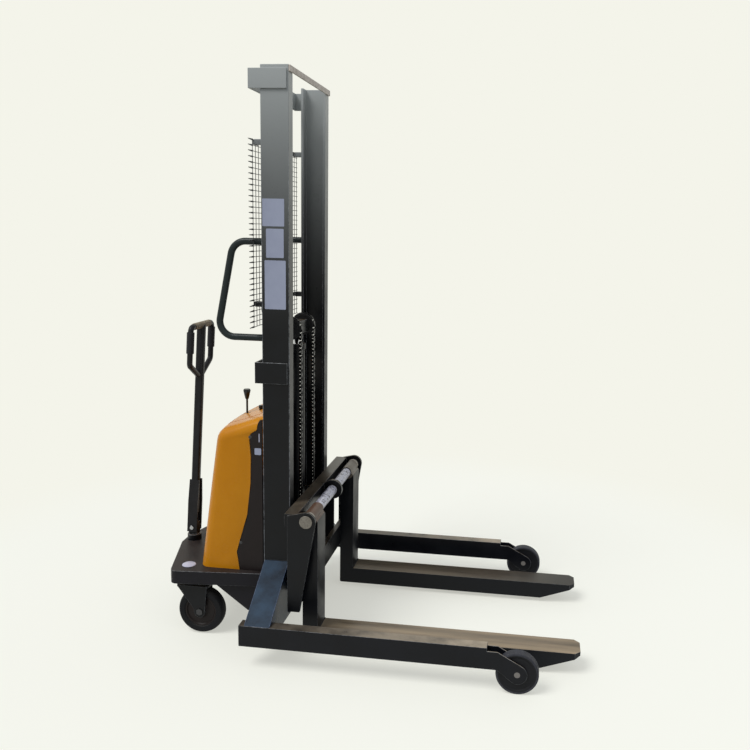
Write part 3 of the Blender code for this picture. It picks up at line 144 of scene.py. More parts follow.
def makeStudio(s):
    world = bpy.data.worlds.new("studio")
    bpy.context.scene.world = world
    world.use_nodes = True
    tree = world.node_tree
    tree.nodes.clear()
    lit = addNode(tree, "ShaderNodeBackground", None,
                  {"Color": linear(s["fill"]), "Strength": s["fillStrength"]})
    shown = addNode(tree, "ShaderNodeBackground", None, {"Color": linear(s["backdrop"]), "Strength": 1.0})
    both = addNode(tree, "ShaderNodeMixShader", None,
                   {0: cameraOrMirror(tree), 1: lit.outputs[0], 2: shown.outputs[0]})
    addNode(tree, "ShaderNodeOutputWorld", None, {"Surface": both.outputs[0]})

    mat = bpy.data.materials.new("paleStudioFloor")  # matt paper that runs out into the backdrop's colour
    mat.use_nodes = True
    tree = mat.node_tree
    tree.nodes.clear()
    glow = addNode(tree, "ShaderNodeEmission", None, {"Color": linear(s["backdrop"]), "Strength": 1.0})
    paper = addNode(tree, "ShaderNodeEmission", None,
                    {"Color": linear(s["backdrop"]), "Strength": s["glow"]})
    matt = addNode(tree, "ShaderNodeBsdfDiffuse", None, {"Color": linear(s["paper"])})
    both = addNode(tree, "ShaderNodeAddShader", None, {0: paper.outputs[0], 1: matt.outputs[0]})
    place = addNode(tree, "ShaderNodeTexCoord").outputs["Object"]
    away = addNode(tree, "ShaderNodeVectorMath", {"operation": "LENGTH"}, {0: place}).outputs["Value"]
    fade = addNode(tree, "ShaderNodeMapRange", {"interpolation_type": "SMOOTHSTEP"},
                   {"Value": away, "From Min": s["fadeNear"], "From Max": s["fadeFar"]})
    far = addNode(tree, "ShaderNodeMixShader", None,
                  {0: fade.outputs[0], 1: both.outputs[0], 2: glow.outputs[0]})
    lit = addNode(tree, "ShaderNodeBsdfDiffuse", None, {"Color": linear(s["bounce"])})
    both = addNode(tree, "ShaderNodeMixShader", None,
                   {0: cameraOrMirror(tree), 1: lit.outputs[0], 2: far.outputs[0]})
    addNode(tree, "ShaderNodeOutputMaterial", None, {"Surface": both.outputs[0]})
    bm = bmesh.new()
    bmesh.ops.create_circle(bm, cap_ends=True, segments=64, radius=s["floorR"])
    mesh = bpy.data.meshes.new("floor")
    bm.to_mesh(mesh)
    bm.free()
    mesh.materials.append(mat)
    floor = bpy.data.objects.new("floor", mesh)
    floor.location = (0, 0, -s["floorDrop"])
    bpy.context.scene.collection.objects.link(floor)

    data = bpy.data.lights.new("keyLight", "SUN")  # broad key, so shadows stay soft and light even
    data.energy, data.angle = s["sun"], math.radians(s["sunAngle"])
    lamp = bpy.data.objects.new("keyLight", data)
    lamp.rotation_euler = (-Vector(s["sunFrom"])).to_track_quat("-Z", "Y").to_euler()
    bpy.context.scene.collection.objects.link(lamp)
    data = bpy.data.lights.new("softBox", "AREA")  # gloss on the fork and leg tops
    data.energy, data.size, data.shape = s["soft"], s["softSize"], "DISK"
    lamp = bpy.data.objects.new("softBox", data)
    lamp.location = s["softPlace"]
    lamp.rotation_euler = (Vector(s["softAim"]) - lamp.location).to_track_quat("-Z", "Y").to_euler()
    bpy.context.scene.collection.objects.link(lamp)


makeStudio(studio)
bpy.context.scene.view_settings.view_transform = "Standard"
print("camera and studio ready")


# finishes

def mixColour(tree, share, first, second):
    node = addNode(tree, "ShaderNodeMix", {"data_type": "RGBA"})
    for socket, value in zip((node.inputs[0], node.inputs[6], node.inputs[7]), (share, first, second)):
        if isinstance(value, bpy.types.NodeSocket):
            tree.links.new(value, socket)
        else:
            socket.default_value = value
    return node.outputs[2]


def span(tree, value, low, high, toLow=0.0, toHigh=1.0):
    node = addNode(tree, "ShaderNodeMapRange", {"clamp": True},
                   {"Value": value, "From Min": low, "From Max": high, "To Min": toLow, "To Max": toHigh})
    return node.outputs[0]


surface = {"roughPatch": (0.3, 0.7), "paintedGlarePower": 1.8, "facing": (0.55, 0.95), "dustAndReflectionPatch": (0.30, 0.62),
           "dustAndReflectionLeast": 0.35, "spotEdge": 0.0008, "coatRough": 0.12, "bump": 0.6}


def finish(name, colour, mottle, mottleShare=0.5, mottleMm=60.0, grainMm=2.0, grainDepth=0.0,
           rough=(0.3, 0.45), metallic=0.0, dustAndReflection=None, dustAndReflectionShare=0.3,
           coat=0.0, streak=None, paintedGlare=None, sheen=0.0, specular=0.2, spot=None, dustAndReflectionRun=None,
           patch=(0.35, 0.68)):
    mat = bpy.data.materials.new(name)
    mat.use_nodes = True
    tree = mat.node_tree
    shader = tree.nodes["Principled BSDF"]
    here = addNode(tree, "ShaderNodeTexCoord").outputs["Object"]
    place = here
    if streak:  # drawn out along an axis, as brushed or turned metal is
        place = addNode(tree, "ShaderNodeMapping", None, {"Vector": here, "Scale": streak}).outputs[0]
    clouds = addNode(tree, "ShaderNodeTexNoise", None,
                     {"Vector": place, "Scale": 1000.0 / mottleMm, "Detail": 5.0, "Roughness": 0.6})
    clouds = clouds.outputs[0]
    grain = addNode(tree, "ShaderNodeTexNoise", None,
                    {"Vector": place, "Scale": 1000.0 / grainMm, "Detail": 3.0}).outputs[0]
    patchy = span(tree, clouds, *patch, 0.0, mottleShare)
    tone = mixColour(tree, patchy, linear(colour), linear(mottle))
    if paintedGlare:  # painted glare: a pale bloom of light that grows towards the top of the mast
        high = addNode(tree, "ShaderNodeSeparateXYZ", None, {0: here}).outputs[2]
        rise = span(tree, high, paintedGlare[1], paintedGlare[2])
        rise = addNode(tree, "ShaderNodeMath", {"operation": "POWER"}, {0: rise, 1: surface["paintedGlarePower"]})
        rise = span(tree, rise.outputs[0], 0.0, 1.0, 0.0, paintedGlare[3])
        tone = mixColour(tree, rise, tone, linear(paintedGlare[0]))
    if dustAndReflection:  # fine dust, with a painted sky reflection, on faces that look up
        normal = addNode(tree, "ShaderNodeNewGeometry").outputs["Normal"]
        facing = addNode(tree, "ShaderNodeSeparateXYZ", None, {0: normal}).outputs[2]
        upwardShare = span(tree, facing, *surface["facing"])
        uneven = span(tree, clouds, *surface["dustAndReflectionPatch"], surface["dustAndReflectionLeast"], 1.0)
        upwardShare = addNode(tree, "ShaderNodeMath", {"operation": "MULTIPLY"}, {0: upwardShare, 1: uneven}).outputs[0]
        upwardShare = span(tree, upwardShare, 0.0, 1.0, 0.0, dustAndReflectionShare)
        if dustAndReflectionRun:  # thicker towards the far end of the run
            reach = addNode(tree, "ShaderNodeSeparateXYZ", None, {0: here}).outputs[0]
            along = span(tree, reach, *dustAndReflectionRun, 1.0)
            upwardShare = addNode(tree, "ShaderNodeMath", {"operation": "MULTIPLY"}, {0: upwardShare, 1: along})
            upwardShare = upwardShare.outputs[0]
        tone = mixColour(tree, upwardShare, tone, linear(dustAndReflection))
    if spot:  # bare or darker disc round an axle that runs along Y
        x, z, radius, inner = spot
        flat = addNode(tree, "ShaderNodeMapping", None,
                       {"Vector": here, "Location": (-x, 0, -z), "Scale": (1, 0, 1)}).outputs[0]
        away = addNode(tree, "ShaderNodeVectorMath", {"operation": "LENGTH"}, {0: flat}).outputs["Value"]
        within = span(tree, away, radius - surface["spotEdge"], radius, 1.0, 0.0)
        tone = mixColour(tree, within, tone, linear(inner))
    tree.links.new(tone, shader.inputs["Base Color"])
    tree.links.new(span(tree, clouds, *surface["roughPatch"], *rough), shader.inputs["Roughness"])
    shader.inputs["Metallic"].default_value = metallic
    shader.inputs["Coat Weight"].default_value = coat
    shader.inputs["Coat Roughness"].default_value = surface["coatRough"]
    shader.inputs["Sheen Weight"].default_value = sheen
    shader.inputs["Specular IOR Level"].default_value = specular
    if grainDepth:
        bump = addNode(tree, "ShaderNodeBump", None, {"Height": grain, "Distance": grainDepth / 1000.0,
                                                      "Strength": surface["bump"]})
        tree.links.new(bump.outputs[0], shader.inputs["Normal"])
    return mat


paintedGlare = ("B4B8B6", 1.14, 2.06, 1.0)  # painted glare: colour, where it starts and ends, share
shaftX, shaftZ = mastX + 0.194, 0.5115  # axis of the carriage shaft
wheelLow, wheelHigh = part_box("load_wheel_near")
wheelX, wheelZ = (wheelLow.x + wheelHigh.x) / 2, (wheelLow.z + wheelHigh.z) / 2
armX = mastX + 0.095  # front end of the base frame's arms

# sprayed enamel on steel: faint orange peel, low gloss, dust with a painted sky reflection on top, and a
# painted glare up the mast
blackEnamel = finish("enamelSprayedBlack", "0C0D10", "14161A", 0.6, 90, 2.6, 0.05, (0.26, 0.40),
                     dustAndReflection="8A7B66", dustAndReflectionShare=0.30, paintedGlare=paintedGlare)
# the same coat under thick dust and a painted reflection on top, heavier towards the wheel, with the bare
# end of the wheel axle
legEnamel = finish("enamelSprayedLeg", "0E0F14", "16181E", 0.6, 90, 2.6, 0.05, (0.26, 0.40), dustAndReflection="AFA08A",
                   dustAndReflectionShare=0.95, dustAndReflectionRun=(armX + 0.02, armX + 0.75, 0.25),
                   spot=(wheelX, wheelZ, 0.0105, "8B8680"))
# dust and a painted reflection on top, dragged into streaks along the blade, and an eye worn bare by the
# shaft
nearForkEnamel = finish("enamelSprayedNearFork", "0B0D12", "13161C", 0.6, 60, 2.6, 0.05, (0.28, 0.42),
                        dustAndReflection="A08D73", dustAndReflectionShare=0.97, streak=(0.10, 1, 1), patch=(0.40, 0.62),
                        spot=(shaftX, shaftZ, 0.031, "5A4336"))
# thinner streaks of dust and painted reflection that gather towards the heel
farForkEnamel = finish("enamelSprayedFarFork", "0B0D12", "13161C", 0.6, 60, 2.6, 0.05, (0.28, 0.42),
                       dustAndReflection="8F7F69", dustAndReflectionShare=0.70, streak=(0.10, 1, 1),
                       dustAndReflectionRun=(shaftX + 0.9, shaftX + 0.1, 0.12),
                       spot=(shaftX, shaftZ, 0.031, "6E6459"))
# bluer, cleaner coat on the base frame
blueEnamel = finish("enamelSprayedBlueBlack", "16212F", "2A4258", 0.8, 90, 2.6, 0.05, (0.24, 0.36))
# walked-on deck: finer texture, little gloss, a little dust and painted reflection on top
deckEnamel = finish("enamelSprayedDeck", "0F0E14", "1C1B22", 0.6, 70, 1.6, 0.12, (0.42, 0.60),
                    dustAndReflection="6B5E52", dustAndReflectionShare=0.18)
# glossy amber top coat on pressed sheet: broad clouds and a sharp highlight
hoodEnamel = finish("enamelSprayedAmber", "D08812", "BE760A", 0.5, 180, 3.0, 0.03, (0.22, 0.34))
# painted shade: thin darker orange line along the edge of the recessed panel on the hood's top, flat,
# without grain
grooveShadeEnamel = finish("enamelGrooveShadeOrange", "B04A1C", "983E16", 0.4, 8, 3.0, 0.0, (0.30, 0.40))
# moulded ABS: fine even grain and a soft highlight
coverPlastic = finish("absMouldedBlack", "1A1414", "251E1E", 0.5, 40, 1.2, 0.10, (0.38, 0.52))
# moulded phenolic: smooth, deep black, glossy
knobPlastic = finish("phenolicMouldedBlack", "0A0A0C", "111114", 0.4, 20, 1.0, 0.02, (0.18, 0.28),
                     specular=0.4)
# moulded soft PVC: matt, with a faint sheen where hands rub
gripRubber = finish("pvcMouldedGrip", "1D1D21", "2A2A30", 0.6, 14, 1.1, 0.12, (0.45, 0.62), sheen=0.1)
# tan PVC film on the crossbar: blotched by handling
tanGrip = finish("pvcMouldedTanFilm", "7C705C", "A89B84", 0.7, 18, 1.0, 0.08, (0.35, 0.5))
# moulded tyre rubber: dull, pebbled, with yard dust and a painted reflection on top
tyreRubber = finish("rubberMouldedBlack", "0E0F12", "191A1E", 0.6, 30, 1.4, 0.15, (0.60, 0.80),
                    dustAndReflection="6A655C", dustAndReflectionShare=0.25)
# turned nylon: lathe streaks, tread rolled pale and the face darkened by grease
nylonTread = finish("nylonTurnedGrey", "303137", "44454C", 0.7, 16, 1.2, 0.10, (0.40, 0.58),
                    streak=(1, 0.15, 1), spot=(wheelX, wheelZ, 0.0655, "15161A"))
# fresh zinc plate: bright, with a small spangle
brightSteel = finish("steelZincPlated", "B9BABC", "8E9094", 0.6, 8, 0.6, 0.02, (0.22, 0.38), metallic=1.0,
                     specular=0.5)
# aged zinc: darker and softer
dullSteel = finish("steelZincDull", "4A4A4C", "333336", 0.6, 8, 0.6, 0.02, (0.34, 0.48), metallic=0.9,
                   specular=0.5)
# punched plates kept oiled: dark with a wet gleam
chainSteel = finish("steelOiledPlate", "1C1C1E", "303033", 0.6, 5, 0.8, 0.03, (0.30, 0.44), metallic=0.8,
                    specular=0.5)
# peened pin ends: small bright dots along the chain
pinSteel = finish("steelPeenedPin", "DCDCDA", "B4B4B2", 0.5, 3, 0.5, 0.01, (0.18, 0.30), metallic=1.0,
                  specular=0.5)
# oily casting: dark, slightly rough
pulleySteel = finish("steelCastOiled", "29292B", "1B1B1D", 0.6, 10, 0.8, 0.05, (0.36, 0.5), metallic=0.7,
                     specular=0.5)
# turned bar dulled by grease: warm grey, broad highlight
axleSteel = finish("steelTurnedDull", "7E7A74", "5F5A55", 0.7, 6, 0.5, 0.03, (0.35, 0.50), metallic=0.85,
                   specular=0.5)
# bare steel left to brown: pale with tea-coloured patches
brownSteel = finish("steelBareBrowned", "B9B4AC", "8F8378", 0.8, 14, 0.8, 0.06, (0.32, 0.50), metallic=0.55,
                    specular=0.5)
# ground hard chrome: a near mirror
hardChrome = finish("steelHardChrome", "D9DADD", "C3C5C9", 0.4, 30, 0.8, 0.0, (0.06, 0.12), metallic=1.0,
                    specular=0.5)
# dipped wire: matt grey that fades into a painted glare higher up
guardWire = finish("steelWireDipped", "2C2D30", "3F4044", 0.6, 10, 0.7, 0.03, (0.40, 0.55), metallic=0.4,
                   paintedGlare=("9C9E9C", 1.25, 1.85, 0.6))
# moulded polythene plug: waxy and pale
capPlastic = finish("polytheneMouldedWhite", "C4C4D4", "B4B4C4", 0.4, 12, 1.0, 0.02, (0.30, 0.42))
# cut vinyl: flat, even and slightly glossy
stickerVinyl = finish("vinylCutPale", "AEB4C8", "A2A8BE", 0.5, 40, 1.5, 0.02, (0.30, 0.42))
# blow-moulded tank: milky, with a soft skin
tankPolythene = finish("polytheneBlownTank", "D8D8CF", "C4C4BA", 0.4, 50, 2.0, 0.05, (0.35, 0.5))
# sprayed motor enamel: dull red under a thin clear gloss
motorEnamel = finish("enamelSprayedRed", "7A231C", "5C1914", 0.5, 40, 2.0, 0.04, (0.25, 0.4), coat=0.2)
# moulded battery case: plain grey with a fine grain
batteryPlastic = finish("polypropyleneMouldedGrey", "4A4C50", "3C3E42", 0.5, 40, 1.2, 0.06, (0.4, 0.55))
# rubber over braid: dull, with a tight pattern of bumps
hoseRubber = finish("rubberBraidedHose", "18181A", "242427", 0.5, 6, 0.8, 0.08, (0.45, 0.6))
# crumpled clear film: pale with dark specks
filmWhite = finish("polytheneStretchFilm", "D6D5E0", "4E4A54", 0.9, 11, 3.0, 1.4, (0.18, 0.40), coat=0.2,
                   patch=(0.52, 0.60))
# weld bead under the enamel: a little glossier than the plate, with the painted glare up the mast
weldSteel = finish("weldBeadPainted", "15161A", "222429", 0.5, 8, 0.8, 0.05, (0.26, 0.36), paintedGlare=paintedGlare)
# enamel on bent pipe: slightly green black
railEnamel = finish("enamelSprayedRail", "1E2627", "2B3334", 0.6, 30, 1.2, 0.04, (0.28, 0.40))
# enamel on the tiller: neutral black, clouded by handling
tillerEnamel = finish("enamelSprayedTiller", "17171A", "26262A", 0.6, 30, 1.2, 0.04, (0.28, 0.40))
# paint rubbed thin along the edges, with a painted edge highlight: light broken lines; the black one also
# takes the painted glare
rubbedHighlitBlack = finish("enamelRubbedHighlitBlack", "3C3D40", "96989B", 0.95, 14, 2.0, 0.03, (0.30, 0.42), paintedGlare=paintedGlare)
rubbedHighlitBlue = finish("enamelRubbedHighlitBlue", "33405A", "6E7A90", 0.9, 14, 2.0, 0.03, (0.30, 0.42))
rubbedHighlitAmber = finish("enamelRubbedHighlitAmber", "D9983C", "E8B866", 0.9, 30, 2.0, 0.02, (0.24, 0.34))
rubbedAndHighlitEdges = {look.name: worn for worn, looks in (
    (rubbedHighlitBlack, (blackEnamel, legEnamel, nearForkEnamel, farForkEnamel, deckEnamel, weldSteel)),
    (rubbedHighlitBlue, (blueEnamel,)), (rubbedHighlitAmber, (hoodEnamel,))) for look in looks}
print("finishes mixed")


# helpers for meshes

def placed(name, bm, look, body, stands=(), smooth=40.0, bevel=0.0, level=2):
    bmesh.ops.remove_doubles(bm, verts=bm.verts, dist=1e-6)
    bmesh.ops.recalc_face_normals(bm, faces=bm.faces)
    mesh = bpy.data.meshes.new(name)
    bm.to_mesh(mesh)
    bm.free()
    return dressed(name, mesh, look, body, stands, smooth, bevel, level)


def dressed(name, mesh, look, body, stands=(), smooth=40.0, bevel=0.0, level=2):
    mesh.materials.clear()
    mesh.materials.append(look)
    rubbedHighlit = rubbedAndHighlitEdges.get(look.name) if bevel else None
    if rubbedHighlit:
        mesh.materials.append(rubbedHighlit)
    mesh.shade_smooth()
    mesh.set_sharp_from_angle(angle=math.radians(smooth))
    piece = bpy.data.objects.new(name, mesh)
    bpy.context.scene.collection.objects.link(piece)
    if bevel:
        edge = piece.modifiers.new("softEdge", "BEVEL")
        edge.width, edge.segments, edge.limit_method = bevel, level, "ANGLE"
        edge.angle_limit, edge.harden_normals = math.radians(40), True
        edge.material = 1 if rubbedHighlit else -1  # rubbed paint and a painted highlight on the softened edges
    if body:
        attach(piece, body)
    if stands:
        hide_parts(*stands)
    return piece


def refined(node, look, bevel=0.0012, smooth=40.0, name=None):
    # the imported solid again, its seams merged, with soft edges that catch the light
    mesh = nodes[node].data.copy()
    bm = bmesh.new()
    bm.from_mesh(mesh)
    bmesh.ops.remove_doubles(bm, verts=bm.verts, dist=2e-5)
    bmesh.ops.dissolve_limit(bm, angle_limit=math.radians(0.6), verts=bm.verts, edges=bm.edges)
    bmesh.ops.recalc_face_normals(bm, faces=bm.faces)
    bm.to_mesh(mesh)
    bm.free()
    return dressed(name or node + "_skin", mesh, look, bodyOf[node], (node,), smooth, bevel)


def boxMesh(low, high):
    bm = bmesh.new()
    bmesh.ops.create_cube(bm, size=1.0)
    size = [h - l for l, h in zip(low, high)]
    middle = [(h + l) / 2 for l, h in zip(low, high)]
    bmesh.ops.scale(bm, verts=bm.verts, vec=size)
    bmesh.ops.translate(bm, verts=bm.verts, vec=middle)
    return bm


def turnedMesh(profile, axis, centre, steps=48):  # (radius, along) points, radius 0 closes the ends
    bm = bmesh.new()
    rings = []
    for radius, along in profile:
        if radius < 1e-6:
            rings.append([bm.verts.new((0, 0, along))] * steps)
        else:
            rings.append([bm.verts.new((radius * math.cos(2 * math.pi * i / steps),
                                        radius * math.sin(2 * math.pi * i / steps), along))
                          for i in range(steps)])
    closed = profile[0][0] > 1e-6
    for k in range(len(rings) if closed else len(rings) - 1):
        ring, other = rings[k], rings[(k + 1) % len(rings)]
        for i in range(steps):
            j = (i + 1) % steps
            corners = []
            for vert in (ring[i], ring[j], other[j], other[i]):
                if vert not in corners:
                    corners.append(vert)
            if len(corners) > 2:
                bm.faces.new(corners)
    turn = {"z": Matrix.Identity(3), "y": Matrix.Rotation(math.radians(-90), 3, "X"),
            "x": Matrix.Rotation(math.radians(90), 3, "Y")}[axis]
    bmesh.ops.rotate(bm, verts=bm.verts, cent=(0, 0, 0), matrix=turn)
    bmesh.ops.translate(bm, verts=bm.verts, vec=centre)
    return bm


def sweptMesh(points, radius, sides=20, into=None):  # a round bar along a 3-D path
    bm = into or bmesh.new()
    path = [Vector(p) for p in points]
    side = (path[1] - path[0]).normalized().orthogonal().normalized()
    last = None
    for i, point in enumerate(path):
        back = (point - path[max(i - 1, 0)]) if i else path[1] - point
        ahead = (path[i + 1] - point) if i + 1 < len(path) else back
        tangent = (back.normalized() + ahead.normalized()).normalized()
        side = (side - tangent * side.dot(tangent)).normalized()
        up = tangent.cross(side)
        wide = radius(i / (len(path) - 1)) if callable(radius) else radius
        ring = [bm.verts.new(point + (side * math.cos(a) + up * math.sin(a)) * wide)
                for a in (2 * math.pi * k / sides for k in range(sides))]
        if last:
            for k in range(sides):
                j = (k + 1) % sides
                bm.faces.new((last[k], last[j], ring[j], ring[k]))
        else:
            bm.faces.new(list(reversed(ring)))
        last = ring
    bm.faces.new(last)
    return bm


def bentPath(corners, radius, steps=12):  # rounds the inner corners of an open path
    path = [Vector(c) for c in corners]
    route = [path[0]]
    for before, here, after in zip(path, path[1:], path[2:]):
        back, ahead = (before - here).normalized(), (after - here).normalized()
        half = back.angle(ahead) / 2
        reach = radius / math.tan(half)
        centre = here + (back + ahead).normalized() * (radius / math.sin(half))
        first, end = here + back * reach - centre, here + ahead * reach - centre
        sweep = first.angle(end)
        for k in range(steps + 1):
            turn = sweep * k / steps
            route.append(centre + (first * math.sin(sweep - turn) + end * math.sin(turn)) / math.sin(sweep))
    return route + [path[-1]]


def extruded(outline, axis, start, end):  # a flat outline given thickness along one axis
    spot = {"x": lambda a, b, s: (s, a, b), "y": lambda a, b, s: (a, s, b),
            "z": lambda a, b, s: (a, b, s)}[axis]
    bm = bmesh.new()
    first = [bm.verts.new(spot(a, b, start)) for a, b in outline]
    last = [bm.verts.new(spot(a, b, end)) for a, b in outline]
    bm.faces.new(first)
    bm.faces.new(list(reversed(last)))
    for i in range(len(outline)):
        j = (i + 1) % len(outline)
        bm.faces.new((first[i], last[i], last[j], first[j]))
    return bm


def mirrored(profile):  # the other half of a profile that starts at -half
    return [(radius, -along) for radius, along in reversed(profile)]


def roundRect(a0, b0, a1, b1, radius, steps=6):
    outline = []
    for ca, cb, start in ((a1 - radius, b1 - radius, 0), (a0 + radius, b1 - radius, 90),
                          (a0 + radius, b0 + radius, 180), (a1 - radius, b0 + radius, 270)):
        for k in range(steps + 1):
            turn = math.radians(start + 90 * k / steps)
            outline.append((ca + radius * math.cos(turn), cb + radius * math.sin(turn)))
    return outline


def merged(first, *others):  # several meshes in one bmesh
    for other in others:
        mesh = bpy.data.meshes.new("scrap")
        other.to_mesh(mesh)
        other.free()
        first.from_mesh(mesh)
        bpy.data.meshes.remove(mesh)
    return first


# pieces strung along a path with geometry nodes

def strungTree():
    tree = bpy.data.node_groups.new("strungPieces", "GeometryNodeTree")
    sockets = {}
    for label, kind in (("Path", "Geometry"), ("Pitch", "Float"), ("Vary", "Float"), ("Seed", "Int"),
                        ("Piece", "Object"), ("Finish", "Material")):
        socket = tree.interface.new_socket(label, in_out="INPUT", socket_type="NodeSocket" + kind)
        sockets[label] = socket.identifier
    tree.interface.new_socket("Strung", in_out="OUTPUT", socket_type="NodeSocketGeometry")
    source = addNode(tree, "NodeGroupInput").outputs
    line = addNode(tree, "GeometryNodeMeshToCurve", None, {0: source["Path"]}).outputs[0]
    even = addNode(tree, "GeometryNodeResampleCurve", {"mode": "LENGTH"},
                   {"Curve": line, "Length": source["Pitch"]}).outputs[0]
    along = addNode(tree, "GeometryNodeInputTangent").outputs[0]
    turn = addNode(tree, "FunctionNodeAlignRotationToVector", {"axis": "X"}, {"Vector": along}).outputs[0]
    low = addNode(tree, "ShaderNodeMath", {"operation": "SUBTRACT"}, {0: 1.0, 1: source["Vary"]}).outputs[0]
    high = addNode(tree, "ShaderNodeMath", {"operation": "ADD"}, {0: 1.0, 1: source["Vary"]}).outputs[0]
    size = addNode(tree, "FunctionNodeRandomValue", {"data_type": "FLOAT"})
    for socket in size.inputs:
        if socket.name == "Min" and socket.type == "VALUE":
            tree.links.new(low, socket)
        elif socket.name == "Max" and socket.type == "VALUE":
            tree.links.new(high, socket)
        elif socket.name == "Seed":
            tree.links.new(source["Seed"], socket)
    size = next(s for s in size.outputs if s.type == "VALUE")
    piece = addNode(tree, "GeometryNodeObjectInfo", None, {"Object": source["Piece"]}).outputs["Geometry"]
    many = addNode(tree, "GeometryNodeInstanceOnPoints", None,
                   {"Points": even, "Instance": piece, "Rotation": turn, "Scale": size}).outputs[0]
    real = addNode(tree, "GeometryNodeRealizeInstances", None, {0: many}).outputs[0]
    done = addNode(tree, "GeometryNodeSetMaterial", None, {"Geometry": real, "Material": source["Finish"]})
    out = addNode(tree, "NodeGroupOutput")
    tree.links.new(done.outputs[0], out.inputs[0])
    return tree, sockets


stringing, stringSockets = strungTree()


def strung(paths, bm, pitch, look, vary=0.0, seed=1):  # meshes of the pieces strung on each path
    mesh = bpy.data.meshes.new("pattern")
    bmesh.ops.recalc_face_normals(bm, faces=bm.faces)
    bm.to_mesh(mesh)
    bm.free()
    pattern = bpy.data.objects.new("pattern", mesh)
    bpy.context.scene.collection.objects.link(pattern)
    line = bpy.data.meshes.new("path")
    points, edges = [], []
    for path in paths:
        edges += [(len(points) + i, len(points) + i + 1) for i in range(len(path) - 1)]
        points += [tuple(p) for p in path]
    line.from_pydata(points, edges, [])
    carrier = bpy.data.objects.new("carrier", line)
    bpy.context.scene.collection.objects.link(carrier)
    modifier = carrier.modifiers.new("strung", "NODES")
    modifier.node_group = stringing
    for label, value in (("Pitch", pitch), ("Vary", vary), ("Seed", seed), ("Piece", pattern),
                         ("Finish", look)):
        modifier[stringSockets[label]] = value
    graph = bpy.context.evaluated_depsgraph_get()
    result = bpy.data.meshes.new_from_object(carrier.evaluated_get(graph))
    carrier.modifiers.remove(modifier)
    for used in (carrier, pattern):
        bpy.data.objects.remove(used)
    return result


def at(x, y, z):  # a point given from the rear face of the mast
    return Vector((mastX + x, y, z))


sides = {"near": -1, "far": 1}


# mast

for side in sides:
    refined("mast_channel_" + side, blackEnamel, 0.0022)
for node in ("mast_top_tie", "mast_middle_tie", "chain_anchor_mast"):
    refined(node, blackEnamel, 0.0015)
barEnamel = finish("enamelPaleTopBar", "DDD2C6", "B5AA9C", 0.6, 30, 1.4, 0.05, (0.35, 0.5))
refined("mast_top_bar", barEnamel, 0.0012)  # pale enamel over the whole top bar

stickers = {"thick": 0.0004, "off": 0.0001, "round": 0.003,
            "places": ((0.004, 1.537, 0.083, 1.632), (0.017, 1.428, 0.081, 1.529),
                       (0.011, 1.247, 0.088, 1.419))}
webFace = mastLow.y


def makeStickers(s):
    for number, (x0, z0, x1, z1) in enumerate(s["places"]):
        outline = roundRect(mastX + x0, z0, mastX + x1, z1, s["round"])
        bm = extruded(outline, "y", webFace - s["off"], webFace - s["off"] - s["thick"])
        placed("blank_sticker_%d" % number, bm, stickerVinyl, "chassis")


makeStickers(stickers)
print("mast done")


# base, legs and load wheels

refined("base_frame", blueEnamel, 0.0020)
for side in sides:
    refined("leg_" + side, legEnamel, 0.0018)

loadWheel = {"steps": 64, "bore": 0.0096, "hub": 0.017, "edge": 0.001, "recess": 0.004, "rim": 0.012,
             "treadRound": 0.004, "shoulder": 0.0015, "grooves": 5, "margin": 0.006,
             "groove": (0.0012, 0.0006)}


def makeLoadWheels(s):
    for side in sides:
        low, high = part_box("load_wheel_" + side)
        centre = (low + high) / 2
        radius, half = (high.z - low.z) / 2, (high.y - low.y) / 2
        rim = radius - s["rim"]
        face = [(s["bore"], 2 * s["edge"] - half), (s["hub"], s["edge"] - half),
                (s["hub"] + s["edge"], s["recess"] - half), (rim - s["recess"], s["recess"] - half),
                (rim, s["edge"] - half), (radius - s["treadRound"], -half),
                (radius - s["edge"], s["shoulder"] - half), (radius, s["treadRound"] - half)]
        tread = []
        wide, deep = s["groove"]
        for k in range(s["grooves"]):  # fine turning marks round the tread
            spot = -half + s["margin"] + 2 * (half - s["margin"]) * (k + 0.5) / s["grooves"]
            tread += [(radius, spot - wide), (radius - deep, spot), (radius, spot + wide)]
        profile = face + tread + mirrored(face)
        placed("load_wheel_%s_turned" % side, turnedMesh(profile, "y", centre, s["steps"]), nylonTread,
               "load_wheel_" + side, ("load_wheel_" + side,), 30)


makeLoadWheels(loadWheel)
print("legs done")


# rear platform, casters and steering

refined("rear_platform", deckEnamel, 0.0018)
for side in sides:
    refined("caster_cap_" + side, capPlastic, 0.0008)
    refined("caster_fork_" + side, blackEnamel, 0.0010)
refined("steering_head", blackEnamel, 0.0012)
refined("steering_link", dullSteel, 0.0008)

caster = {"steps": 64, "rows": 12, "crown": 0.0075, "crownPower": 3.2, "treadShare": 0.98,
          "wall": [(0.060, 0.006), (0.064, 0.002), (0.071, 0.0005), (0.078, 0.0008)],
          "hub": [(0.0105, 0), (0.021, 0), (0.024, 0.004), (0.030, 0.009), (0.052, 0.010), (0.056, 0.005),
                  (0.0605, 0.005)],
          "nutR": 0.0135, "nutDepth": 0.006, "nutOut": 0.0078}


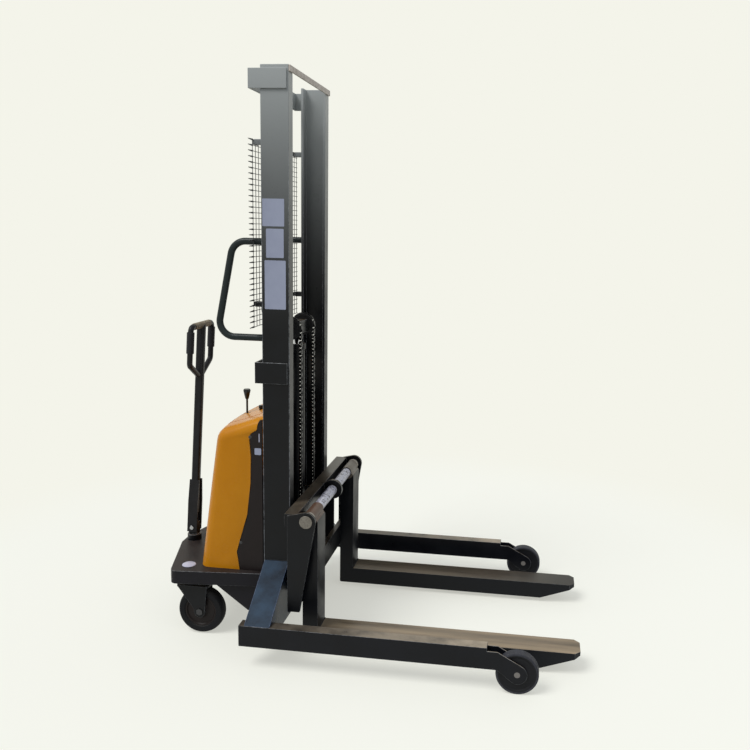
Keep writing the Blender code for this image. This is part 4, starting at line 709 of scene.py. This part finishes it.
def makeCasterWheels(s):
    quarter = Matrix.Rotation(math.pi / 2, 3, "X")
    for side in sides:
        low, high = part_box("caster_wheel_" + side)
        centre = (low + high) / 2
        radius, half = (high.z - low.z) / 2, (high.y - low.y) / 2
        tread = []
        for k in range(s["rows"] + 1):  # crowned tread with rounded shoulders
            t = -1 + 2 * k / s["rows"]
            tread.append((radius - s["crown"] * abs(t) ** s["crownPower"], half * s["treadShare"] * t))
        wall = [(r, inset - half) for r, inset in s["wall"]]
        profile = wall + tread + mirrored(wall)
        placed("caster_tyre_" + side, turnedMesh(profile, "y", centre, s["steps"]), tyreRubber,
               "caster_wheel_" + side, ("caster_wheel_" + side,), 30)
        hub = [(r, inset - half) for r, inset in s["hub"]]
        placed("caster_hub_" + side, turnedMesh(hub + mirrored(hub), "y", centre, s["steps"]), coverPlastic,
               "caster_wheel_" + side, (), 30)
        for face in (-1, 1):  # axle nut on each cheek
            spot = centre + Vector((0, face * (half + s["nutOut"]), 0))
            nut = bmesh.new()
            bmesh.ops.create_cone(nut, cap_ends=True, segments=6, radius1=s["nutR"], radius2=s["nutR"],
                                  depth=s["nutDepth"])
            bmesh.ops.rotate(nut, verts=nut.verts, cent=(0, 0, 0), matrix=quarter)
            bmesh.ops.translate(nut, verts=nut.verts, vec=spot)
            placed("caster_nut_%s_%s" % (side, "ab"[face > 0]), nut, dullSteel, "caster_" + side,
                   (), 30, 0.0008)


makeCasterWheels(caster)
print("casters done")


# tiller

refined("tiller_arm", tillerEnamel, 0.0012, 50)
refined("tiller_pin", brightSteel, 0.0008)
for side in sides:
    refined("tiller_grip_" + side, gripRubber, 0.0015, 50)

crossbar = {"half": 0.072, "swell": 0.0022, "valley": 0.0009, "hem": (0.0002, 0.001), "ribs": 18,
            "pipe": 0.011, "topBand": 0.003}


def makeCrossbarSleeve(s):
    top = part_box("tiller_arm")[1].z
    crest = [v.co for v in nodes["tiller_arm"].data.vertices if v.co.z > top - s["topBand"]]
    x = sum(c.x for c in crest) / len(crest)
    pipe, step = s["pipe"], 2 * s["half"] / s["ribs"]
    profile = [(pipe + s["hem"][0], -s["half"] - s["hem"][1])]
    for k in range(s["ribs"]):  # moulded sleeve with shallow ribs round it
        start = k * step - s["half"]
        profile += [(pipe + s["valley"], start), (pipe + s["swell"], start + step * 0.25),
                    (pipe + s["swell"], start + step * 0.75)]
    profile.append((pipe + s["hem"][0], s["half"] + s["hem"][1]))
    placed("tiller_crossbar_sleeve", turnedMesh(profile, "y", (x, 0, top - pipe), 32), tanGrip, "tiller",
           (), 50)


makeCrossbarSleeve(crossbar)
print("tiller done")


# hood, side covers and controls

refined("hood", hoodEnamel, 0.0008, 60)
for side in sides:
    refined("hood_side_cover_" + side, coverPlastic, 0.0014)
refined("oil_tank", tankPolythene, 0.006)
refined("power_unit", motorEnamel, 0.002)
refined("battery", batteryPlastic, 0.003)
refined("motor_controller", brightSteel, 0.002)
refined("hydraulic_hose", hoseRubber, 0.0, 70)
refined("lever_bracket", dullSteel, 0.0006)
refined("lowering_lever", knobPlastic, 0.0, 50)
refined("key_switch", knobPlastic, 0.0006)

trim = {"outline": 0.0022, "lift": 0.0005, "panel": ((-0.179, -0.150), (-0.050, 0.150)),
        "screwR": 0.0065, "dome": [(0, 0.0022), (0.5, 0.0019), (1, 0.0006), (1, -0.001), (0, -0.001)],
        "screws": ((-0.052, 0.775), (-0.092, 0.367)),
        "slot": (-0.017, 0.757, 0.789, 0.0035), "slotSink": (0.0005, 0.0007), "slotRound": 0.45,
        "badge": (-0.035, 0.709, -0.010, 0.734), "badgeSink": (0.0003, 0.0004), "badgeRound": 0.004}


def surfaceOf(node):  # a solid to drop points onto
    mesh = nodes[node].data
    corners = [v.co.copy() for v in mesh.vertices]
    return BVHTree.FromPolygons(corners, [tuple(p.vertices) for p in mesh.polygons])


def laidStrip(surface, start, end, width, lift, count=14):  # thin painted line that follows a surface
    start, end = Vector(start), Vector(end)
    side = Vector((end.y - start.y, start.x - end.x)).normalized() * width / 2
    bm = bmesh.new()
    rows = []
    for k in range(count + 1):
        spot = start.lerp(end, k / count)
        row = []
        for offset in (side, -side):
            x, y = spot.x + offset.x, spot.y + offset.y
            z = surface.ray_cast(Vector((x, y, 2.0)), Vector((0, 0, -1)))[0].z
            row += [bm.verts.new((x, y, z + lift)), bm.verts.new((x, y, z - lift))]
        rows.append(row)
    for a, b in zip(rows, rows[1:]):
        bm.faces.new((a[0], b[0], b[2], a[2]))
        bm.faces.new((a[3], b[3], b[1], a[1]))
        bm.faces.new((a[1], b[1], b[0], a[0]))
        bm.faces.new((a[2], b[2], b[3], a[3]))
    for row, turned in ((rows[0], False), (rows[-1], True)):
        face = (row[0], row[2], row[3], row[1])
        bm.faces.new(tuple(reversed(face)) if turned else face)
    return bm


def makeHoodTrim(s):
    (x0, y0), (x1, y1) = s["panel"]
    x0, x1 = mastX + x0, mastX + x1
    corners = [(x0, y0), (x1, y0), (x1, y1), (x0, y1)]
    surface = surfaceOf("hood")
    # painted shade: darker strips laid along the recessed panel's edge
    lines = [laidStrip(surface, start, end, s["outline"], s["lift"])
             for start, end in zip(corners, corners[1:] + corners[:1])]
    placed("hood_top_outline", merged(lines[0], *lines[1:]), grooveShadeEnamel, "chassis", (),
           30)
    for side, sign in sides.items():
        low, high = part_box("hood_side_cover_" + side)
        face = high.y if sign > 0 else low.y
        parts = []
        for x, z in s["screws"]:  # domed screw heads
            head = turnedMesh([(share * s["screwR"], out) for share, out in s["dome"]], "y", (0, 0, 0), 20)
            bmesh.ops.scale(head, verts=head.verts, vec=(1, sign, 1))
            bmesh.ops.translate(head, verts=head.verts, vec=(mastX + x, face, z))
            parts.append(head)
        placed("cover_screws_" + side, merged(parts[0], *parts[1:]), dullSteel, "chassis")
    low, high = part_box("hood_side_cover_near")
    x, z0, z1, wide = s["slot"]
    outline = roundRect(mastX + x - wide / 2, z0, mastX + x + wide / 2, z1, wide * s["slotRound"])
    light = extruded(outline, "y", low.y + s["slotSink"][0], low.y - s["slotSink"][1])
    placed("cover_light_slot", light, capPlastic, "chassis", (), 30)
    x0, z0, x1, z1 = s["badge"]
    outline = roundRect(mastX + x0, z0, mastX + x1, z1, s["badgeRound"])
    badge = extruded(outline, "y", low.y + s["badgeSink"][0], low.y - s["badgeSink"][1])
    placed("blank_sticker_cover", badge, stickerVinyl, "chassis", (), 30)


makeHoodTrim(trim)
print("hood done")


# hand rails and wire guard

rail = {"high": 1.483, "low": 1.140, "topReach": 0.112, "lowReach": 0.178, "bend": 0.055, "inset": 0.0006}


def makeRails(s):
    for side in sides:
        low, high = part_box("hand_rail_" + side)
        y, radius = (low.y + high.y) / 2, (high.y - low.y) / 2
        corners = [at(-s["inset"], y, s["high"]), at(-s["topReach"], y, s["high"]),
                   at(-s["lowReach"], y, s["low"]), at(-s["inset"], y, s["low"])]
        pipe = sweptMesh(bentPath(corners, s["bend"], 14), radius, 28)
        placed("hand_rail_bent_" + side, pipe, railEnamel, "chassis",
               ("hand_rail_" + side,), 60)


makeRails(rail)

guard = {"wire": 0.0013, "rowPitch": 0.01874, "columns": 17, "margin": 0.001,
         "teeth": 0.0465, "toothRoot": 0.0036, "toothTip": 0.35, "toothGap": 0.006,
         "strap": 0.019, "strapLow": 1.252, "strapX": (-0.0042, -0.0028), "strapNear": (0.012, 0.066),
         "strapFar": (-0.060, -0.001)}


def wirePattern(radius, length):
    bm = bmesh.new()
    bmesh.ops.create_cone(bm, cap_ends=True, segments=6, radius1=radius, radius2=radius, depth=length)
    return bm


def makeGuard(s):
    low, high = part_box("mesh_guard")
    near = low.y + s["teeth"]
    face, radius = (low.x + high.x) / 2, s["wire"]
    middle = (low + high) / 2
    bottom, top = low.z + radius + s["margin"], high.z - radius - s["margin"]
    columnPitch = (high.y - near - 2 * radius) / s["columns"]
    upright = wirePattern(radius, high.z - low.z)
    # strung along Y: the pattern's X turns to Y, so its Z stays up
    wireX = face - radius
    uprights = strung([[(wireX, near + radius, middle.z), (wireX, high.y - radius, middle.z)]], upright,
                      columnPitch, guardWire)
    crossing = wirePattern(radius, high.y - low.y)
    quarter = Matrix.Rotation(math.pi / 2, 3, "X")
    bmesh.ops.rotate(crossing, verts=crossing.verts, cent=(0, 0, 0), matrix=quarter)
    # strung along Z: the pattern's X turns to Z and its Y stays
    crossings = strung([[(face + radius, middle.y, bottom), (face + radius, middle.y, top)]], crossing,
                       s["rowPitch"], guardWire)
    tooth = bmesh.new()  # cut ends past the last upright, swollen by the dip
    bmesh.ops.create_cone(tooth, cap_ends=True, segments=6, radius1=s["toothRoot"] * s["toothTip"],
                          radius2=s["toothRoot"], depth=s["teeth"] - s["toothGap"])
    bmesh.ops.rotate(tooth, verts=tooth.verts, cent=(0, 0, 0), matrix=quarter.inverted())
    toothY = low.y + s["teeth"] / 2
    teeth = strung([[(face, toothY, bottom), (face, toothY, top)]], tooth, s["rowPitch"], guardWire)
    bm = bmesh.new()
    for wires in (uprights, crossings, teeth):
        bm.from_mesh(wires)
    placed("wire_guard", bm, guardWire, "chassis", ("mesh_guard",), 60)
    rear, front = (face + x for x in s["strapX"])
    strips = []
    for z in (s["strapLow"], high.z - s["strap"]):  # flat clamp straps over the mesh, top and bottom
        for edge, (start, end) in ((high.y, s["strapFar"]), (near, s["strapNear"])):
            strips.append(boxMesh((rear, edge + start, z + s["margin"]),
                                  (front, edge + end, z + s["strap"] - s["margin"])))
    placed("guard_straps", merged(strips[0], *strips[1:]), blackEnamel, "chassis", (), 30,
           0.0004)


makeGuard(guard)
print("rails and guard done")


# lift cylinder, crosshead, pulleys and chains

refined("lift_cylinder", blackEnamel, 0.0008, 50)
refined("lift_ram", hardChrome, 0.0, 50)
refined("ram_crosshead", blackEnamel, 0.0012, 50)

pulley = {"steps": 56, "face": [(0.0106, 0), (0.018, 0), (0.019, 0.0025), (0.031, 0.0025), (0.033, 0.0005)],
          "rim": [(0.0010, 0.0003), (0, 0.0012), (0, 0.0030)], "groove": (0.0338, 0.0042)}


def makePulleys(s):
    for side in sides:
        low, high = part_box("chain_pulley_" + side)
        centre, half, radius = (low + high) / 2, (high.y - low.y) / 2, (high.z - low.z) / 2
        profile = s["face"] + [(radius - down, inset) for down, inset in s["rim"]] + [s["groove"]]
        cheek = [(r, inset - half) for r, inset in profile]
        placed("chain_pulley_turned_" + side, turnedMesh(cheek + mirrored(cheek), "y", centre, s["steps"]),
               pulleySteel, "pulley_" + side, ("chain_pulley_" + side,), 30)


makePulleys(pulley)

chain = {"pitch": 0.0144, "plate": 0.0016, "height": 0.0108, "arc": 6, "width": 0.017,
         "pinR": 0.0026, "pinTip": 0.7, "pinEdge": 0.0006, "wrapR": 0.040, "steps": 40, "foot": 0.006,
         "outer": (-0.0072, -0.0038, 0.0, 0.0038, 0.0072), "inner": (-0.0055, -0.0021, 0.0021, 0.0055)}


def linkPattern(s, offsets):  # one link's plates side by side, with rounded ends
    half, reach = s["height"] / 2, s["pitch"] / 2
    outline = []
    for centre, start in ((reach, -90), (-reach, 90)):
        for k in range(s["arc"] + 1):
            turn = math.radians(start + 180 * k / s["arc"])
            outline.append((centre + half * math.cos(turn), half * math.sin(turn)))
    shapes = [extruded(outline, "y", y - s["plate"] / 2, y + s["plate"] / 2) for y in offsets]
    return merged(shapes[0], *shapes[1:])


def pinPattern(s):
    end, tip = s["width"] / 2, s["pinR"] * s["pinTip"]
    start = [(0, -end), (tip, -end), (s["pinR"], s["pinEdge"] - end)]
    return turnedMesh(start + mirrored(start), "y", (0, 0, 0), 10)


def trimmedPath(path, cut):  # the same path, started a little further on
    points = [Vector(p) for p in path]
    while cut > 0 and len(points) > 1:
        step = (points[1] - points[0]).length
        if step > cut:
            points[0] = points[0] + (points[1] - points[0]) * (cut / step)
            break
        cut -= step
        points.pop(0)
    return points


def chainMeshes(s, path):
    # plates in two alternating layers, each two pitches apart, and pins at every pitch
    length = sum((Vector(b) - Vector(a)).length for a, b in zip(path, path[1:]))
    pitch = length / max(2, round(length / s["pitch"]))
    plates = bmesh.new()
    for offsets, start in ((s["outer"], pitch / 2), (s["inner"], pitch / 2 + pitch)):
        links = strung([trimmedPath(path, start)], linkPattern(s, offsets), 2 * pitch, chainSteel)
        plates.from_mesh(links)
    return plates, strung([path], pinPattern(s), pitch, pinSteel)


def makeChains(s):
    for side in sides:
        pulleyLow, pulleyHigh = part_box("chain_pulley_" + side)
        centre = (pulleyLow + pulleyHigh) / 2
        for strand, away in (("front", 1), ("rear", -1)):
            name = "chain_%s_%s" % (strand, side)
            low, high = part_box(name)
            x = centre.x + away * s["wrapR"]
            plates, pins = chainMeshes(s, [(x, centre.y, low.z + s["foot"]), (x, centre.y, centre.z)])
            body = "carriage" if strand == "front" else None  # the rear strand rides no body
            made = [placed("leaf_" + name, plates, chainSteel, body, (name,)),
                    dressed("pins_" + name, pins, pinSteel, body)]
            for piece in made:
                if strand == "front":  # the front strand keeps a mesh of its own
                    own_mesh(piece)
                else:  # the rear strand, between the mast and the ram, is baked in place
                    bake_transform(piece)
        wrap = []
        for k in range(s["steps"] + 1):  # over the pulley, from the rear strand to the front
            turn = math.pi - math.pi * k / s["steps"]
            away, up = s["wrapR"] * math.cos(turn), s["wrapR"] * math.sin(turn)
            wrap.append((centre.x + away, centre.y, centre.z + up))
        plates, pins = chainMeshes(s, wrap)
        placed("leaf_chain_wrap_" + side, plates, chainSteel, "ram")
        dressed("pins_chain_wrap_" + side, pins, pinSteel, "ram")


makeChains(chain)
print("lifting gear done")


# carriage, shaft and forks

refined("carriage_frame", blackEnamel, 0.0014)
refined("fork_shaft", axleSteel, 0.0015, 50)
for side, sign in sides.items():
    for level in ("lower", "upper"):
        refined("mast_roller_%s_%s" % (side, level), axleSteel, 0.0012, 50)
    refined("fork_" + side, nearForkEnamel if sign < 0 else farForkEnamel, 0.0020)
    refined("fork_collar_" + side, brownSteel, 0.0010, 50)

sleeve = {"bar": 0.0185, "clear": 0.0007, "hem": 0.0004, "gap": 0.0135, "reach": 0.2240, "rings": 60,
          "ruffle": 0.00035, "waves": (1.7, 0.61, 1.3), "steps": 40, "endIn": 0.0003,
          "end": [(0, 0), (0.006, 0), (0.0065, 0.0004), (0.013, 0.0004), (0.0135, 0), (0.0185, 0),
                  (0.019, -0.0012), (0, -0.0012)]}


def makeShaftDressing(s):
    low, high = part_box("fork_shaft")
    radius = s["bar"] + s["clear"]
    quick, slow, phase = s["waves"]
    for side, sign in sides.items():  # wrapping film left on the bar between lug and fork
        profile = [(radius - s["hem"], s["gap"])]
        for k in range(s["rings"] + 1):
            wave = math.sin(k * quick) * math.sin(k * slow + phase)
            along = s["gap"] + (s["reach"] - s["gap"]) * k / s["rings"]
            profile.append((radius + s["ruffle"] * wave, along))
        profile.append((radius - s["hem"], s["reach"]))
        film = turnedMesh([(r, sign * a) for r, a in profile], "y", (shaftX, 0, shaftZ), s["steps"])
        placed("film_sleeve_" + side, film, filmWhite, bodyOf["fork_shaft"], (), 60)
        face = high.y if sign > 0 else low.y  # turned rings on the end of the bar
        spot = (shaftX, face - sign * s["endIn"], shaftZ)
        head = turnedMesh([(r, sign * a) for r, a in s["end"]], "y", spot, s["steps"])
        placed("shaft_end_" + side, head, axleSteel, bodyOf["fork_shaft"], (), 30)


makeShaftDressing(sleeve)

weld = {"pitch": 0.0022, "bead": (0.0026, 0.0032, 0.0026), "vary": 0.18, "seed": 7,
        "arm": (0.006, 0.092), "drop": (0.0965, 0.17, 0.006),
        "shankFront": 0.2243, "bladeTop": 0.083, "inset": 0.004}


def beadPattern(s):
    bm = bmesh.new()
    bmesh.ops.create_icosphere(bm, subdivisions=1, radius=1.0)
    bmesh.ops.scale(bm, verts=bm.verts, vec=s["bead"])
    return bm


def makeWelds(s):
    web, top = -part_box("mast_channel_near")[0].y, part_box("base_frame")[1].z
    rear, front = s["arm"]
    dropX, foot, short = s["drop"]
    arm = [at(rear, web, top), at(front, web, top)]
    down = [at(dropX, web, foot), at(dropX, web, top - short)]
    runs = {"arm_welds": ("chassis", [])}
    for sign in sides.values():  # fillet runs where the arms meet the mast
        for path in (arm, down):
            runs["arm_welds"][1].append([(p.x, p.y * sign, p.z) for p in path])
    for side in sides:  # inner corner of each fork's heel
        low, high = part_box("fork_" + side)
        shank, blade = mastX + s["shankFront"], s["bladeTop"]
        heel = [(shank, low.y + s["inset"], blade), (shank, high.y - s["inset"], blade)]
        runs["heel_weld_" + side] = ("fork_" + side, [heel])
    for name, (body, paths) in runs.items():
        mesh = strung(paths, beadPattern(s), s["pitch"], weldSteel, s["vary"], s["seed"])
        dressed(name, mesh, weldSteel, body, (), 60)


makeWelds(weld)
print("carriage done")
